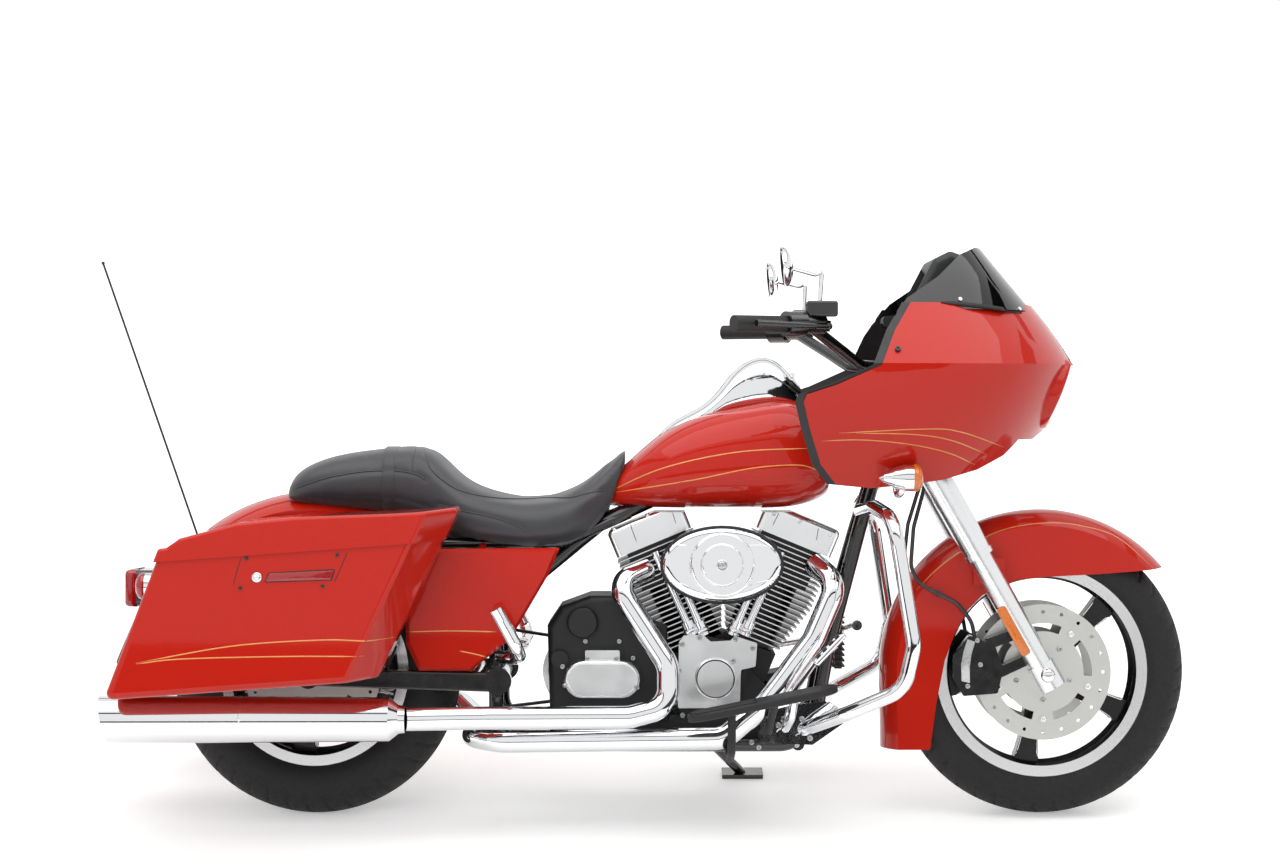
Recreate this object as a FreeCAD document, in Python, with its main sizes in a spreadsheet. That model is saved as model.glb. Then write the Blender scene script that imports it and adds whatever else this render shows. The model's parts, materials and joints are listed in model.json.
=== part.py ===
"""Touring cruiser motorcycle with a frame-mounted fairing and hard saddlebags.

The machine is drawn upright first, in millimetres: +X points forward, +Y to the rider's left, +Z up, with x = 0
midway between the axles and z = 0 where the tyres touch. Every finished piece is then placed leaning to its left on
its side stand, which is how it parks, with the origin under the middle of its bounding box.
"""
import FreeCAD, Part
import math
import os
import Sketcher
from FreeCAD import Matrix, Placement, Rotation, Vector

doc = FreeCAD.newDocument("TouringCruiser")
sheet = doc.addObject("Spreadsheet::Sheet", "Sizes")

# Driving dimensions, in millimetres and degrees.
SIZES = (
    ("wheelbase", 1613, "front axle to rear axle"),
    ("lean_angle", 9, "lean on the side stand"),
    ("steering_rake", 26, "steering axis from vertical"),
    ("steering_trail", 170, "axis ahead of the front contact patch"),
    ("fork_angle", 29.25, "fork legs from vertical"),
    ("front_tyre_radius", 320, "eighteen inch front tyre"),
    ("front_tyre_width", 130, "front tyre section"),
    ("front_tyre_crown", 75, "front tread crown radius"),
    ("front_rim_radius", 229, "bead seat of the front rim"),
    ("front_rim_width", 98, "front rim over its flanges"),
    ("rear_tyre_radius", 320, "sixteen inch rear tyre"),
    ("rear_tyre_width", 180, "rear tyre section"),
    ("rear_tyre_crown", 95, "rear tread crown radius"),
    ("rear_rim_radius", 204, "bead seat of the rear rim"),
    ("rear_rim_width", 138, "rear rim over its flanges"),
    ("rim_wall", 9, "rim barrel wall"),
    ("spoke_count", 5, "cast spokes in each wheel"),
    ("spoke_width", 58, "width of a spoke at the rim"),
    ("spoke_depth", 46, "axial depth of a spoke"),
    ("hub_radius", 50, "wheel hub outside radius"),
    ("axle_radius", 12.5, "both axles"),
    ("bearing_gap", 0.05, "running clearance of axles and stem"),
    ("disc_radius", 150, "brake disc outside radius"),
    ("disc_thickness", 5, "brake disc"),
    ("front_disc_offset", 70, "front disc from the wheel centre"),
    ("rear_disc_offset", 103, "rear disc from the wheel centre"),
    ("disc_hole_count", 20, "holes in the braking band"),
    ("pulley_radius", 142, "rear drive pulley"),
    ("front_pulley_radius", 62, "gearbox pulley"),
    ("belt_offset", 110, "belt centre from the middle plane"),
    ("belt_width", 22, "drive belt"),
    ("belt_thickness", 6, "drive belt"),
    ("fork_half_spacing", 116, "fork leg from the middle plane"),
    ("slider_radius", 27, "fork slider"),
    ("fork_cover_radius", 32, "upper fork cover"),
    ("stem_radius", 17, "steering stem"),
    ("head_tube_radius", 29, "steering head outside"),
    ("lower_yoke_height", 812, "lower yoke on the steering axis"),
    ("upper_yoke_height", 958, "upper yoke on the steering axis"),
    ("yoke_thickness", 26, "both yokes"),
    ("frame_tube_radius", 16, "cradle tubes"),
    ("backbone_radius", 30, "frame backbone"),
    ("rail_half_spacing", 122, "lower cradle rail from the middle plane"),
    ("rail_height", 166, "lower cradle rail"),
    ("pivot_back", 395, "swingarm pivot behind the middle"),
    ("pivot_height", 310, "swingarm pivot"),
    ("crank_forward", 100, "crankshaft ahead of the middle"),
    ("crank_height", 245, "crankshaft"),
    ("case_radius", 100, "crankcase"),
    ("case_half_width", 92, "crankcase"),
    ("cylinder_angle", 22.5, "each cylinder from vertical"),
    ("barrel_radius", 56, "cylinder barrel"),
    ("fin_pitch", 11.5, "cooling fin spacing"),
    ("fin_thickness", 4, "cooling fin"),
    ("fin_half_depth", 84, "cooling fins from the middle plane"),
    ("rocker_top_height", 674, "flat top of the rocker boxes"),
    ("air_cleaner_length", 268, "oval air cleaner"),
    ("air_cleaner_height", 170, "oval air cleaner"),
    ("air_cleaner_rise", 319, "air cleaner centre above the crank"),
    ("header_radius", 25, "exhaust headers over their shields"),
    ("muffler_radius", 50, "muffler"),
    ("muffler_half_spacing", 300, "muffler from the middle plane"),
    ("muffler_height", 240, "muffler centre"),
    ("muffler_length", 655, "muffler body"),
    ("tank_half_width", 170, "fuel tank"),
    ("seat_half_width", 185, "widest part of the saddle"),
    ("rear_fender_radius", 398, "rear fender from the axle"),
    ("rear_fender_half_width", 110, "rear fender"),
    ("front_fender_radius", 358, "front fender from the axle"),
    ("front_fender_half_width", 77, "front fender"),
    ("fender_wall", 2.5, "pressed steel fenders"),
    ("bag_inner_offset", 226, "saddlebag inner wall"),
    ("bag_width", 214, "saddlebag"),
    ("bag_wall", 4, "saddlebag shell"),
    ("bag_height", 281, "saddlebag body"),
    ("lid_height", 74, "saddlebag lid"),
    ("seam_height", 604, "lid seam over the rear axle"),
    ("seam_slope", 4.1, "lid seam rises forward"),
    ("seam_gap", 0.3, "lid on body"),
    ("fairing_half_width", 385, "fairing at its crease"),
    ("fairing_wall", 4, "fairing shell"),
    ("crease_height", 1000, "crease round the fairing"),
    ("nose_forward", 881, "fairing nose ahead of the middle"),
    ("windshield_height", 146, "windshield above the fairing"),
    ("windshield_wall", 4, "windshield"),
    ("lamp_radius", 74, "headlamp"),
    ("lamp_half_spacing", 92, "headlamp from the middle plane"),
    ("guard_radius", 15.9, "engine guard tube"),
    ("guard_half_width", 330, "engine guard"),
    ("bar_radius", 12.7, "handlebar"),
    ("steering_stop", 28, "steering to either side, in degrees"),
    ("grip_radius", 17, "hand grip"),
    ("grip_length", 125, "hand grip"),
    ("bar_half_width", 425, "bar end from the middle plane"),
    ("board_length", 320, "rider footboard"),
    ("board_width", 112, "rider footboard"),
    ("stand_tube_radius", 11, "side stand leg"),
    ("antenna_radius", 2.5, "whip antenna"),
    ("joint_gap", 0.3, "seated pieces"),
)
for row, (name, value, note) in enumerate(SIZES, 1):
    sheet.set(f"A{row}", name)
    sheet.set(f"B{row}", str(value))
    sheet.set(f"C{row}", note)
    sheet.setAlias(f"B{row}", name)
doc.recompute()


def size(name):
    """A driving dimension from the sheet."""
    return float(sheet.get(name))


GAP = size("joint_gap")
FRONT_X = size("wheelbase") / 2
REAR_X = -FRONT_X
FRONT_AXLE = Vector(FRONT_X, 0, size("front_tyre_radius"))
REAR_AXLE = Vector(REAR_X, 0, size("rear_tyre_radius"))
RAKE = math.radians(size("steering_rake"))
FORK = math.radians(size("fork_angle"))
CRANK = Vector(size("crank_forward"), 0, size("crank_height"))
PIVOT = Vector(-size("pivot_back"), 0, size("pivot_height"))
STEER_UP = Vector(-math.sin(RAKE), 0, math.cos(RAKE))
FORK_UP = Vector(-math.sin(FORK), 0, math.cos(FORK))


def on_steering_axis(height):
    """The point of the steering axis at a height."""
    return Vector(FRONT_X + size("steering_trail") - height * math.tan(RAKE), 0, height)


def on_fork_leg(distance, side=1):
    """A point on a fork leg's centre line, measured up from the axle."""
    return FRONT_AXLE + FORK_UP * distance + Vector(0, side * size("fork_half_spacing"), 0)


# Plain shape helpers.

def mirrored(shape):
    """The same piece on the other side of the middle plane."""
    return shape.mirror(Vector(0, 0, 0), Vector(0, 1, 0))


def both_sides(shape):
    """A piece and its mirror image as one compound."""
    return Part.makeCompound([shape, mirrored(shape)])


def box(low_x, high_x, low_y, high_y, low_z, high_z):
    """A box between two corners."""
    corner = Vector(low_x, low_y, low_z)
    return Part.makeBox(high_x - low_x, high_y - low_y, high_z - low_z, corner)


def rod(start, end, radius):
    """A round bar between two points."""
    return Part.makeCylinder(radius, (end - start).Length, start, end - start)


def bent_path(points, bend):
    """Straight runs joined by tangent arcs, each no larger than its runs allow."""
    edges = []
    last = points[0]
    for before, corner, after in zip(points, points[1:], points[2:]):
        inward = (corner - before).normalize()
        outward = (after - corner).normalize()
        turn = inward.getAngle(outward)
        if turn < 0.01:
            continue
        room = 0.45 * min((corner - before).Length, (after - corner).Length)
        back = min(bend * math.tan(turn / 2), room)
        radius = back / math.tan(turn / 2)
        start = corner - inward * back
        end = corner + outward * back
        toward = (outward - inward).normalize()
        middle = corner + toward * (radius / math.cos(turn / 2) - radius)
        if (start - last).Length > 1e-4:
            edges.append(Part.LineSegment(last, start).toShape())
        edges.append(Part.Arc(start, middle, end).toShape())
        last = end
    edges.append(Part.LineSegment(last, points[-1]).toShape())
    return Part.Wire(edges)


def tube(points, radius, bend=60):
    """A round tube bent along the points."""
    points = [Vector(*p) for p in points]
    path = bent_path(points, bend)
    ring = Part.Wire(Part.makeCircle(radius, points[0], points[1] - points[0]))
    return path.makePipeShell([ring], True, False)


def prism(outline, low_y, high_y):
    """A side-view outline of (x, z) points carried across the machine."""
    corners = [Vector(x, low_y, z) for x, z in outline]
    face = Part.Face(Part.makePolygon(corners + corners[:1]))
    return face.extrude(Vector(0, high_y - low_y, 0))


def rounded(shape, radius, wanted=None):
    """Fillets the edges that a test picks, or all of them, as one cut from the mould would be."""
    edges = [e for e in shape.Edges if wanted is None or wanted(e)]
    return shape.makeFillet(radius, edges)


def runs_across(edge):
    """True for a straight edge that runs along Y."""
    if edge.Curve.TypeId != "Part::GeomLine":
        return False
    return abs(edge.tangentAt(edge.FirstParameter).y) > 0.99


def smooth_ring(points):
    """A closed smooth curve through points."""
    curve = Part.BSplineCurve()
    curve.interpolate(Points=points, PeriodicFlag=True)
    return Part.Wire(curve.toShape())


def oval_section(x, half_width, low_z, high_z, power=2.4, belly=0.45, count=20):
    """An upright superellipse across the machine: belly is the height share where it is widest."""
    waist = low_z + belly * (high_z - low_z)
    points = []
    for i in range(count):
        angle = 2 * math.pi * i / count
        c, s = math.cos(angle), math.sin(angle)
        y = half_width * math.copysign(abs(c) ** (2 / power), c)
        reach = (high_z - waist) if s >= 0 else (waist - low_z)
        z = waist + reach * math.copysign(abs(s) ** (2 / power), s)
        points.append(Vector(x, y, z))
    return smooth_ring(points)


def loft(sections, ruled=False):
    """A solid skinned over closed sections."""
    return Part.makeLoft(sections, True, ruled, False)


def spline_edge(points):
    """An open smooth edge through points."""
    curve = Part.BSplineCurve()
    curve.interpolate(points)
    return curve.toShape()


def stadium(start, end, radius, low_y, high_y):
    """A slab with the side view of two joined circles, centres given as (x, z)."""
    a, b = Vector(start[0], low_y, start[1]), Vector(end[0], low_y, end[1])
    along = (b - a).normalize()
    normal = Vector(-along.z, 0, along.x) * radius
    edges = (
        Part.LineSegment(a + normal, b + normal).toShape(),
        Part.Arc(b + normal, b + along * radius, b - normal).toShape(),
        Part.LineSegment(b - normal, a - normal).toShape(),
        Part.Arc(a - normal, a - along * radius, a + normal).toShape(),
    )
    return Part.Face(Part.Wire(edges)).extrude(Vector(0, high_y - low_y, 0))


def largest(shape):
    """The one solid that matters, without crumbs left by a cut."""
    return max(shape.Solids, key=lambda s: s.Volume)


# Document helpers.

PIECES = []


def piece(label, shape):
    """Keeps a finished shape in the document under its own label."""
    item = doc.addObject("Part::Feature", label)
    item.Label = label
    item.Shape = shape
    PIECES.append(item)
    return item


def keep(item, label):
    """Names a parametric object as a finished piece."""
    item.Label = label
    PIECES.append(item)
    return item


def round_bar(name, start, end, radius):
    """A parametric cylinder between two points; its radius is an expression of the sheet."""
    item = doc.addObject("Part::Cylinder", name)
    item.Height = (end - start).Length
    item.setExpression("Radius", radius)
    item.Placement = Placement(start, Rotation(Vector(0, 0, 1), end - start))
    return item


def fused(name, items):
    """Several objects joined into one."""
    item = doc.addObject("Part::MultiFuse", name)
    item.Shapes = items
    item.Refine = True
    return item


def mirror_of(name, source):
    """The same object on the other side of the middle plane."""
    item = doc.addObject("Part::Mirroring", name)
    item.Source = source
    item.Normal = Vector(0, 1, 0)
    item.Base = Vector(0, 0, 0)
    return item


def side_pair(label, right):
    """An object and its mirror image kept as one piece."""
    both = doc.addObject("Part::Compound", f"{label}_pair")
    both.Links = [right, mirror_of(f"{label}_left_side", right)]
    return keep(both, label)


def origin_plane(body, role):
    """One of a body's own origin planes."""
    return next(f for f in body.Origin.OriginFeatures if f.Role == role)


def new_sketch(body, name, role="XZ_Plane"):
    """An empty sketch on one of the body's origin planes."""
    sketch = body.newObject("Sketcher::SketchObject", name)
    sketch.AttachmentSupport = [(origin_plane(body, role), "")]
    sketch.MapMode = "FlatFace"
    return sketch


def sketch_circle(sketch, x, y, radius, expression=None):
    """A circle, bound to the sheet when an expression is given."""
    circle = Part.Circle(Vector(x, y, 0), Vector(0, 0, 1), radius)
    index = sketch.addGeometry(circle, False)
    if expression:
        rule = sketch.addConstraint(Sketcher.Constraint("Radius", index, radius))
        sketch.setExpression(f"Constraints[{rule}]", expression)
    return index


def sketch_outline(sketch, points):
    """A closed outline of straight lines."""
    corners = [Vector(x, y, 0) for x, y in points]
    first = sketch.GeometryCount
    for a, b in zip(corners, corners[1:] + corners[:1]):
        sketch.addGeometry(Part.LineSegment(a, b), False)
    last = sketch.GeometryCount - 1
    for i in range(first, last):
        sketch.addConstraint(Sketcher.Constraint("Coincident", i, 2, i + 1, 1))
    sketch.addConstraint(Sketcher.Constraint("Coincident", last, 2, first, 1))


def revolve_outline(body, name, points, role="YZ_Plane"):
    """A closed outline turned round the sketch's horizontal axis."""
    sketch = new_sketch(body, f"{name}_section", role)
    sketch_outline(sketch, points)
    feature = body.newObject("PartDesign::Revolution", name)
    feature.Profile = sketch
    feature.ReferenceAxis = (sketch, ["H_Axis"])
    feature.Angle = 360
    return feature


def through_pocket(body, name, sketch, depth):
    """Cuts a sketch through to both sides of its plane."""
    feature = body.newObject("PartDesign::Pocket", name)
    feature.Profile = sketch
    feature.Midplane = True
    feature.Length = depth
    return feature


def repeat_round(body, name, feature, axis, count):
    """Repeats a feature evenly round one of the body's axes; count is an expression or a number."""
    pattern = body.newObject("PartDesign::PolarPattern", name)
    pattern.Originals = [feature]
    pattern.Axis = (origin_plane(body, axis), [""])
    pattern.Angle = 360
    if isinstance(count, str):
        pattern.setExpression("Occurrences", count)
    else:
        pattern.Occurrences = count
    body.Tip = pattern
    return pattern


# Wheels.

def tyre_points(radius, width, crown, seat_radius, rim_width):
    """Corners of a tyre section in (offset, radius): round crown, full sidewalls, and a bead that sits on the rim."""
    half = width / 2
    shoulder = half - 6
    drop = crown - math.sqrt(crown * crown - shoulder * shoulder) if crown > shoulder else crown
    shoulder_z = radius - drop
    bead = rim_width / 2 - 8
    belly_z = (shoulder_z + seat_radius) / 2 + 6
    return {
        "crown": Vector(0, radius, 0),
        "left": Vector(shoulder, shoulder_z, 0), "right": Vector(-shoulder, shoulder_z, 0),
        "belly_left": Vector(half, belly_z, 0), "belly_right": Vector(-half, belly_z, 0),
        "bead_left": Vector(bead, seat_radius, 0), "bead_right": Vector(-bead, seat_radius, 0),
    }


def tyre(name, centre, radius, width, crown, seat_radius, rim_width):
    """A tyre turned from its section, notched where it meets the rim flanges."""
    body = doc.addObject("PartDesign::Body", f"{name}_carcass")
    p = tyre_points(radius, width, crown, seat_radius, rim_width)
    section = new_sketch(body, f"{name}_section", "YZ_Plane")
    section.addGeometry(Part.Arc(p["right"], p["crown"], p["left"]), False)
    section.addGeometry(Part.Arc(p["left"], p["belly_left"], p["bead_left"]), False)
    section.addGeometry(Part.LineSegment(p["bead_left"], p["bead_right"]), False)
    section.addGeometry(Part.Arc(p["bead_right"], p["belly_right"], p["right"]), False)
    ring = body.newObject("PartDesign::Revolution", f"{name}_turning")
    ring.Profile = section
    ring.ReferenceAxis = (section, ["H_Axis"])
    ring.Angle = 360
    near, far = rim_width / 2 - 7.5 - GAP, rim_width / 2 + 32
    low, high = seat_radius - 5, seat_radius + 12 + GAP
    notch_sketch = new_sketch(body, f"{name}_flange_room", "YZ_Plane")
    for side in (-1, 1):
        sketch_outline(notch_sketch, ((side * near, low), (side * far, low), (side * far, high), (side * near, high)))
    doc.recompute()
    notch = body.newObject("PartDesign::Groove", f"{name}_flange_notch")
    notch.Profile = notch_sketch
    notch.ReferenceAxis = (notch_sketch, ["H_Axis"])
    notch.Angle = 360
    doc.recompute()
    body.Tip = notch
    body.Placement = Placement(centre, Rotation())
    return body


def cast_wheel(name, centre, seat_radius, rim_width, first_spoke, hub_right, hub_left):
    """A cast wheel as a body: turned rim, hub, one lofted spoke repeated round it."""
    body = doc.addObject("PartDesign::Body", f"{name}_casting")
    wall = size("rim_wall")
    half = rim_width / 2
    bed = seat_radius - GAP
    lip = seat_radius + 12
    barrel = (
        (-half, lip), (-half + 7.5, lip), (-half + 7.5, bed), (half - 7.5, bed), (half - 7.5, lip), (half, lip),
        (half, bed - 2 * wall), (half - 14, bed - 2.6 * wall), (20, bed - 1.6 * wall), (-20, bed - 1.6 * wall),
        (-half + 14, bed - 2.6 * wall), (-half, bed - 2 * wall),
    )
    revolve_outline(body, f"{name}_rim_turning", barrel)
    bore = size("axle_radius") + size("bearing_gap")
    outside = size("hub_radius")
    spoke_sketch = new_sketch(body, f"{name}_spoke_outline", "XZ_Plane")
    half_spoke = size("spoke_width") / 2
    reach = bed - 1.2 * wall
    inner = outside - 12
    sketch_outline(spoke_sketch, ((-half_spoke, reach), (-half_spoke * 0.62, (reach + inner) * 0.55),
                                  (-half_spoke * 0.8, inner), (half_spoke * 0.8, inner),
                                  (half_spoke * 0.62, (reach + inner) * 0.55), (half_spoke, reach)))
    doc.recompute()
    spoke = body.newObject("PartDesign::Pad", f"{name}_spoke")
    spoke.Profile = spoke_sketch
    spoke.Midplane = True
    spoke.setExpression("Length", "Sizes.spoke_depth")
    repeat_round(body, f"{name}_spokes", spoke, "Y_Axis", "Sizes.spoke_count")
    hub = revolve_outline(body, f"{name}_hub_turning", (
        (-hub_right, bore), (hub_left, bore), (hub_left, outside - 8), (hub_left - 10, outside),
        (-hub_right + 10, outside), (-hub_right, outside - 8)))
    doc.recompute()
    body.Tip = hub
    body.Placement = Placement(centre, Rotation(Vector(0, 1, 0), -first_spoke))
    doc.recompute()
    return body


def brake_disc(name, radius, centre):
    """A flat disc with a drilled band and five carrier windows."""
    body = doc.addObject("PartDesign::Body", name)
    ring_sketch = new_sketch(body, f"{name}_outline")
    sketch_circle(ring_sketch, 0, 0, radius, "Sizes.disc_radius")
    sketch_circle(ring_sketch, 0, 0, size("axle_radius") + 16)
    blank = body.newObject("PartDesign::Pad", f"{name}_blank")
    blank.Profile = ring_sketch
    blank.Midplane = True
    blank.setExpression("Length", "Sizes.disc_thickness")
    hole_sketch = new_sketch(body, f"{name}_hole")
    sketch_circle(hole_sketch, 0, radius - 17, 4)
    deep = 4 * size("disc_thickness")
    hole = through_pocket(body, f"{name}_drilling", hole_sketch, deep)
    repeat_round(body, f"{name}_drillings", hole, "Y_Axis", "Sizes.disc_hole_count")
    window_sketch = new_sketch(body, f"{name}_window")
    inner, outer = 0.6 * radius, 0.72 * radius
    spread = math.radians(23)
    arc = Part.Arc(Vector(-outer * math.sin(spread), outer * math.cos(spread), 0), Vector(0, outer, 0),
                   Vector(outer * math.sin(spread), outer * math.cos(spread), 0))
    low_arc = Part.Arc(Vector(-inner * math.sin(spread), inner * math.cos(spread), 0), Vector(0, inner, 0),
                       Vector(inner * math.sin(spread), inner * math.cos(spread), 0))
    window_sketch.addGeometry(arc, False)
    window_sketch.addGeometry(low_arc, False)
    window_sketch.addGeometry(Part.LineSegment(arc.StartPoint, low_arc.StartPoint), False)
    window_sketch.addGeometry(Part.LineSegment(arc.EndPoint, low_arc.EndPoint), False)
    window = through_pocket(body, f"{name}_window_cut", window_sketch, deep)
    repeat_round(body, f"{name}_window_cuts", window, "Y_Axis", 5)
    body.Placement = Placement(centre, Rotation())
    doc.recompute()
    return body


def build_wheels():
    """Both wheels with their tyres, discs and drive pulley."""
    front_half, rear_half = size("front_rim_width"), size("rear_rim_width")
    thin = size("disc_thickness") / 2
    front_hub = size("front_disc_offset") - thin - GAP
    front = cast_wheel("front", FRONT_AXLE, size("front_rim_radius"), front_half, 27, front_hub, front_hub)
    keep(front, "front_rim")
    keep(tyre("front_tyre", FRONT_AXLE, size("front_tyre_radius"), size("front_tyre_width"),
              size("front_tyre_crown"), size("front_rim_radius"), front_half), "front_tyre")
    right = brake_disc("right_front_disc", size("disc_radius"), FRONT_AXLE - Vector(0, size("front_disc_offset"), 0))
    side_pair("front_discs", right)
    rear_hub = size("rear_disc_offset") - thin - GAP
    belt_side = size("belt_offset") - size("belt_width") / 2 - 2 - GAP
    rear = cast_wheel("rear", REAR_AXLE, size("rear_rim_radius"), rear_half, 27, rear_hub, belt_side)
    keep(rear, "rear_rim")
    keep(tyre("rear_tyre", REAR_AXLE, size("rear_tyre_radius"), size("rear_tyre_width"),
              size("rear_tyre_crown"), size("rear_rim_radius"), rear_half), "rear_tyre")
    disc = brake_disc("right_rear_disc", size("disc_radius"), REAR_AXLE - Vector(0, size("rear_disc_offset"), 0))
    inner_y = size("belt_offset") - size("belt_width") / 2 - 2
    outer_y = size("belt_offset") + size("belt_width") / 2 + 2
    r = size("pulley_radius")
    hole = size("axle_radius") + size("bearing_gap")
    pulley = doc.addObject("PartDesign::Body", "rear_pulley")
    revolve_outline(pulley, "pulley_turning", (
        (inner_y, hole), (outer_y, hole), (outer_y, 46), (inner_y + 12, 46), (inner_y + 12, r - 14), (outer_y, r - 14),
        (outer_y, r), (inner_y, r), (inner_y, r - 14), (inner_y + 6, r - 14), (inner_y + 6, 46), (inner_y, 46)))
    window_sketch = new_sketch(pulley, "pulley_window")
    sketch_circle(window_sketch, 0, (r + 30) / 2, 24)
    doc.recompute()
    window = through_pocket(pulley, "pulley_window_cut", window_sketch, 3 * outer_y)
    repeat_round(pulley, "pulley_windows", window, "Y_Axis", 5)
    pulley.Placement = Placement(REAR_AXLE, Rotation())
    both = doc.addObject("Part::Compound", "rear_disc_with_pulley")
    both.Links = [disc, pulley]
    keep(both, "rear_disc_and_pulley")


# Steering.

def yoke(height):
    """A flat yoke plate round the stem and the legs, square to the steering axis."""
    thick = size("yoke_thickness")
    centre = on_steering_axis(height)
    leg = size("fork_cover_radius") + 9
    spacing = size("fork_half_spacing")
    # How far the legs stand behind the stem, measured square to the steering axis.
    along = (centre - FRONT_AXLE).dot(STEER_UP) / FORK_UP.dot(STEER_UP)
    at_leg = FRONT_AXLE + FORK_UP * along
    back = (centre - at_leg).Length
    plate = Part.makeBox(2 * leg * 0.8, 2 * spacing, thick, Vector(-back - leg * 0.8, -spacing, -thick / 2))
    neck = Part.makeBox(back + 20, 90, thick, Vector(-back, -45, -thick / 2))
    shape = plate.fuse([neck, Part.makeCylinder(34, thick, Vector(0, 0, -thick / 2))])
    for side in (-1, 1):
        boss = Part.makeCylinder(leg, thick, Vector(-back, side * spacing, -thick / 2))
        shape = shape.fuse(boss)
    shape = shape.removeSplitter()
    turn = Rotation(Vector(0, 1, 0), -size("steering_rake"))
    shape.Placement = Placement(centre, turn)
    legs = [rod(on_fork_leg(0, s), on_fork_leg(900, s), size("fork_cover_radius") + GAP) for s in (-1, 1)]
    shape = largest(shape.cut(legs))
    return shape


def build_fork():
    """Fork legs with the front axle, and both yokes with the stem."""
    stretches = (
        ("slider", -34, 330, "Sizes.slider_radius"), ("axle_clamp", -34, 26, "Sizes.slider_radius + 4"),
        ("upper_cover", 300, 730, "Sizes.fork_cover_radius"), ("collar", 296, 308, "Sizes.fork_cover_radius + 3"),
        ("top_cap", 730, 738, "Sizes.fork_cover_radius - 10"),
    )
    bars = [round_bar(f"fork_{name}", on_fork_leg(a, -1), on_fork_leg(b, -1), r) for name, a, b, r in stretches]
    right = fused("fork_leg_right_side", bars)
    reach = size("fork_half_spacing") + size("slider_radius") + 6
    axle = round_bar("front_axle", FRONT_AXLE - Vector(0, reach, 0), FRONT_AXLE + Vector(0, reach, 0),
                     "Sizes.axle_radius")
    keep(fused("fork_leg_pair", [right, mirror_of("fork_leg_left_side", right), axle]), "fork_legs")
    low, high = size("lower_yoke_height"), size("upper_yoke_height")
    stem = rod(on_steering_axis(low - 20), on_steering_axis(high + 14), size("stem_radius"))
    joined = yoke(low).fuse([yoke(high), stem]).removeSplitter()
    piece("fork_yokes", joined)


def fender_channel(axle, radius, half, shoulder, front, tail, drop, skirt):
    """Solid channel: an arched section swept round a tyre from ahead of its top, then straight on behind it."""
    across = Vector(0, half, 0)

    def point(degrees):
        angle = math.radians(degrees)
        return axle + Vector(math.sin(angle), 0, math.cos(angle)) * radius

    start, top, end = point(front), point((front - tail) / 2), point(-tail)
    angle = math.radians(tail)
    down = Vector(-math.cos(angle), 0, -math.sin(angle))
    path = Part.Wire([Part.Arc(start, top, end).toShape(), Part.LineSegment(end, end + down * drop).toShape()])
    up = Vector(math.sin(math.radians(front)), 0, math.cos(math.radians(front)))
    crown = Part.Arc(start - across - up * shoulder, start, start + across - up * shoulder).toShape()
    corners = [start + across - up * shoulder, start + across - up * skirt,
               start - across - up * skirt, start - across - up * shoulder]
    section = Part.Wire([crown] + Part.makePolygon(corners).Edges)
    return path.makePipeShell([section], True, False)


FRONT_FENDER_VIEW = ((1110, 552), (1000, 542), (932, 537), (821, 531), (760, 526), (710, 513), (672, 490),
                     (640, 458), (611, 405), (589, 347), (570, 250), (556, 148), (400, 148), (400, 900), (1200, 900))


def build_front_fender():
    """Deep front fender: a crowned channel round the tyre, trimmed by its side view, on stays at the legs."""
    radius, half, wall = size("front_fender_radius"), size("front_fender_half_width"), size("fender_wall")
    outer = fender_channel(FRONT_AXLE, radius, half, 34, 54, 91, 185, 168)
    inner = fender_channel(FRONT_AXLE, radius - wall, half - wall, 34, 55, 91, 195, 180)
    shell = outer.cut(inner).common(prism(FRONT_FENDER_VIEW, -half - 5, half + 5))
    spot = on_fork_leg(250, 0)
    stays = [box(spot.x - 34, spot.x + 34, s * (half + 12) - 13, s * (half + 12) + 13, spot.z - 24, spot.z + 36)
             for s in (-1, 1)]
    legs = [rod(on_fork_leg(0, s), on_fork_leg(500, s), size("slider_radius")) for s in (-1, 1)]
    legs += [rod(on_fork_leg(290, s), on_fork_leg(500, s), size("fork_cover_radius") + 3 + GAP) for s in (-1, 1)]
    hollow = box(spot.x - 60, spot.x + 60, -half + wall, half - wall, spot.z - 60, spot.z + 60)
    shell = largest(shell).fuse(stays).cut(legs + [hollow])
    piece("front_fender", largest(shell))


def bar_centre():
    """Middle of the handlebar in its clamps."""
    return on_steering_axis(size("upper_yoke_height")) + STEER_UP * (size("yoke_thickness") / 2 + 24)


def bar_points():
    """Corners of the left half of the handlebar, from its clamps to its end."""
    clamp, end, hand_z = bar_centre(), size("bar_half_width"), 1083
    return [
        (clamp.x, 0, clamp.z), (clamp.x, 84, clamp.z), (clamp.x - 98, 158, clamp.z + 6),
        (286, end - 113, hand_z - 9), (236, end - 73, hand_z), (115, end, hand_z),
    ]


def bar_room():
    """What the handlebar needs at both steering stops: its rising part turned to the stop, larger all round."""
    corners = [Vector(*p) for p in bar_points()]
    room = rod(corners[2], corners[3], size("bar_radius") + 6)
    room.rotate(on_steering_axis(880), STEER_UP, -size("steering_stop"))
    return [room, mirrored(room)]


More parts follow.
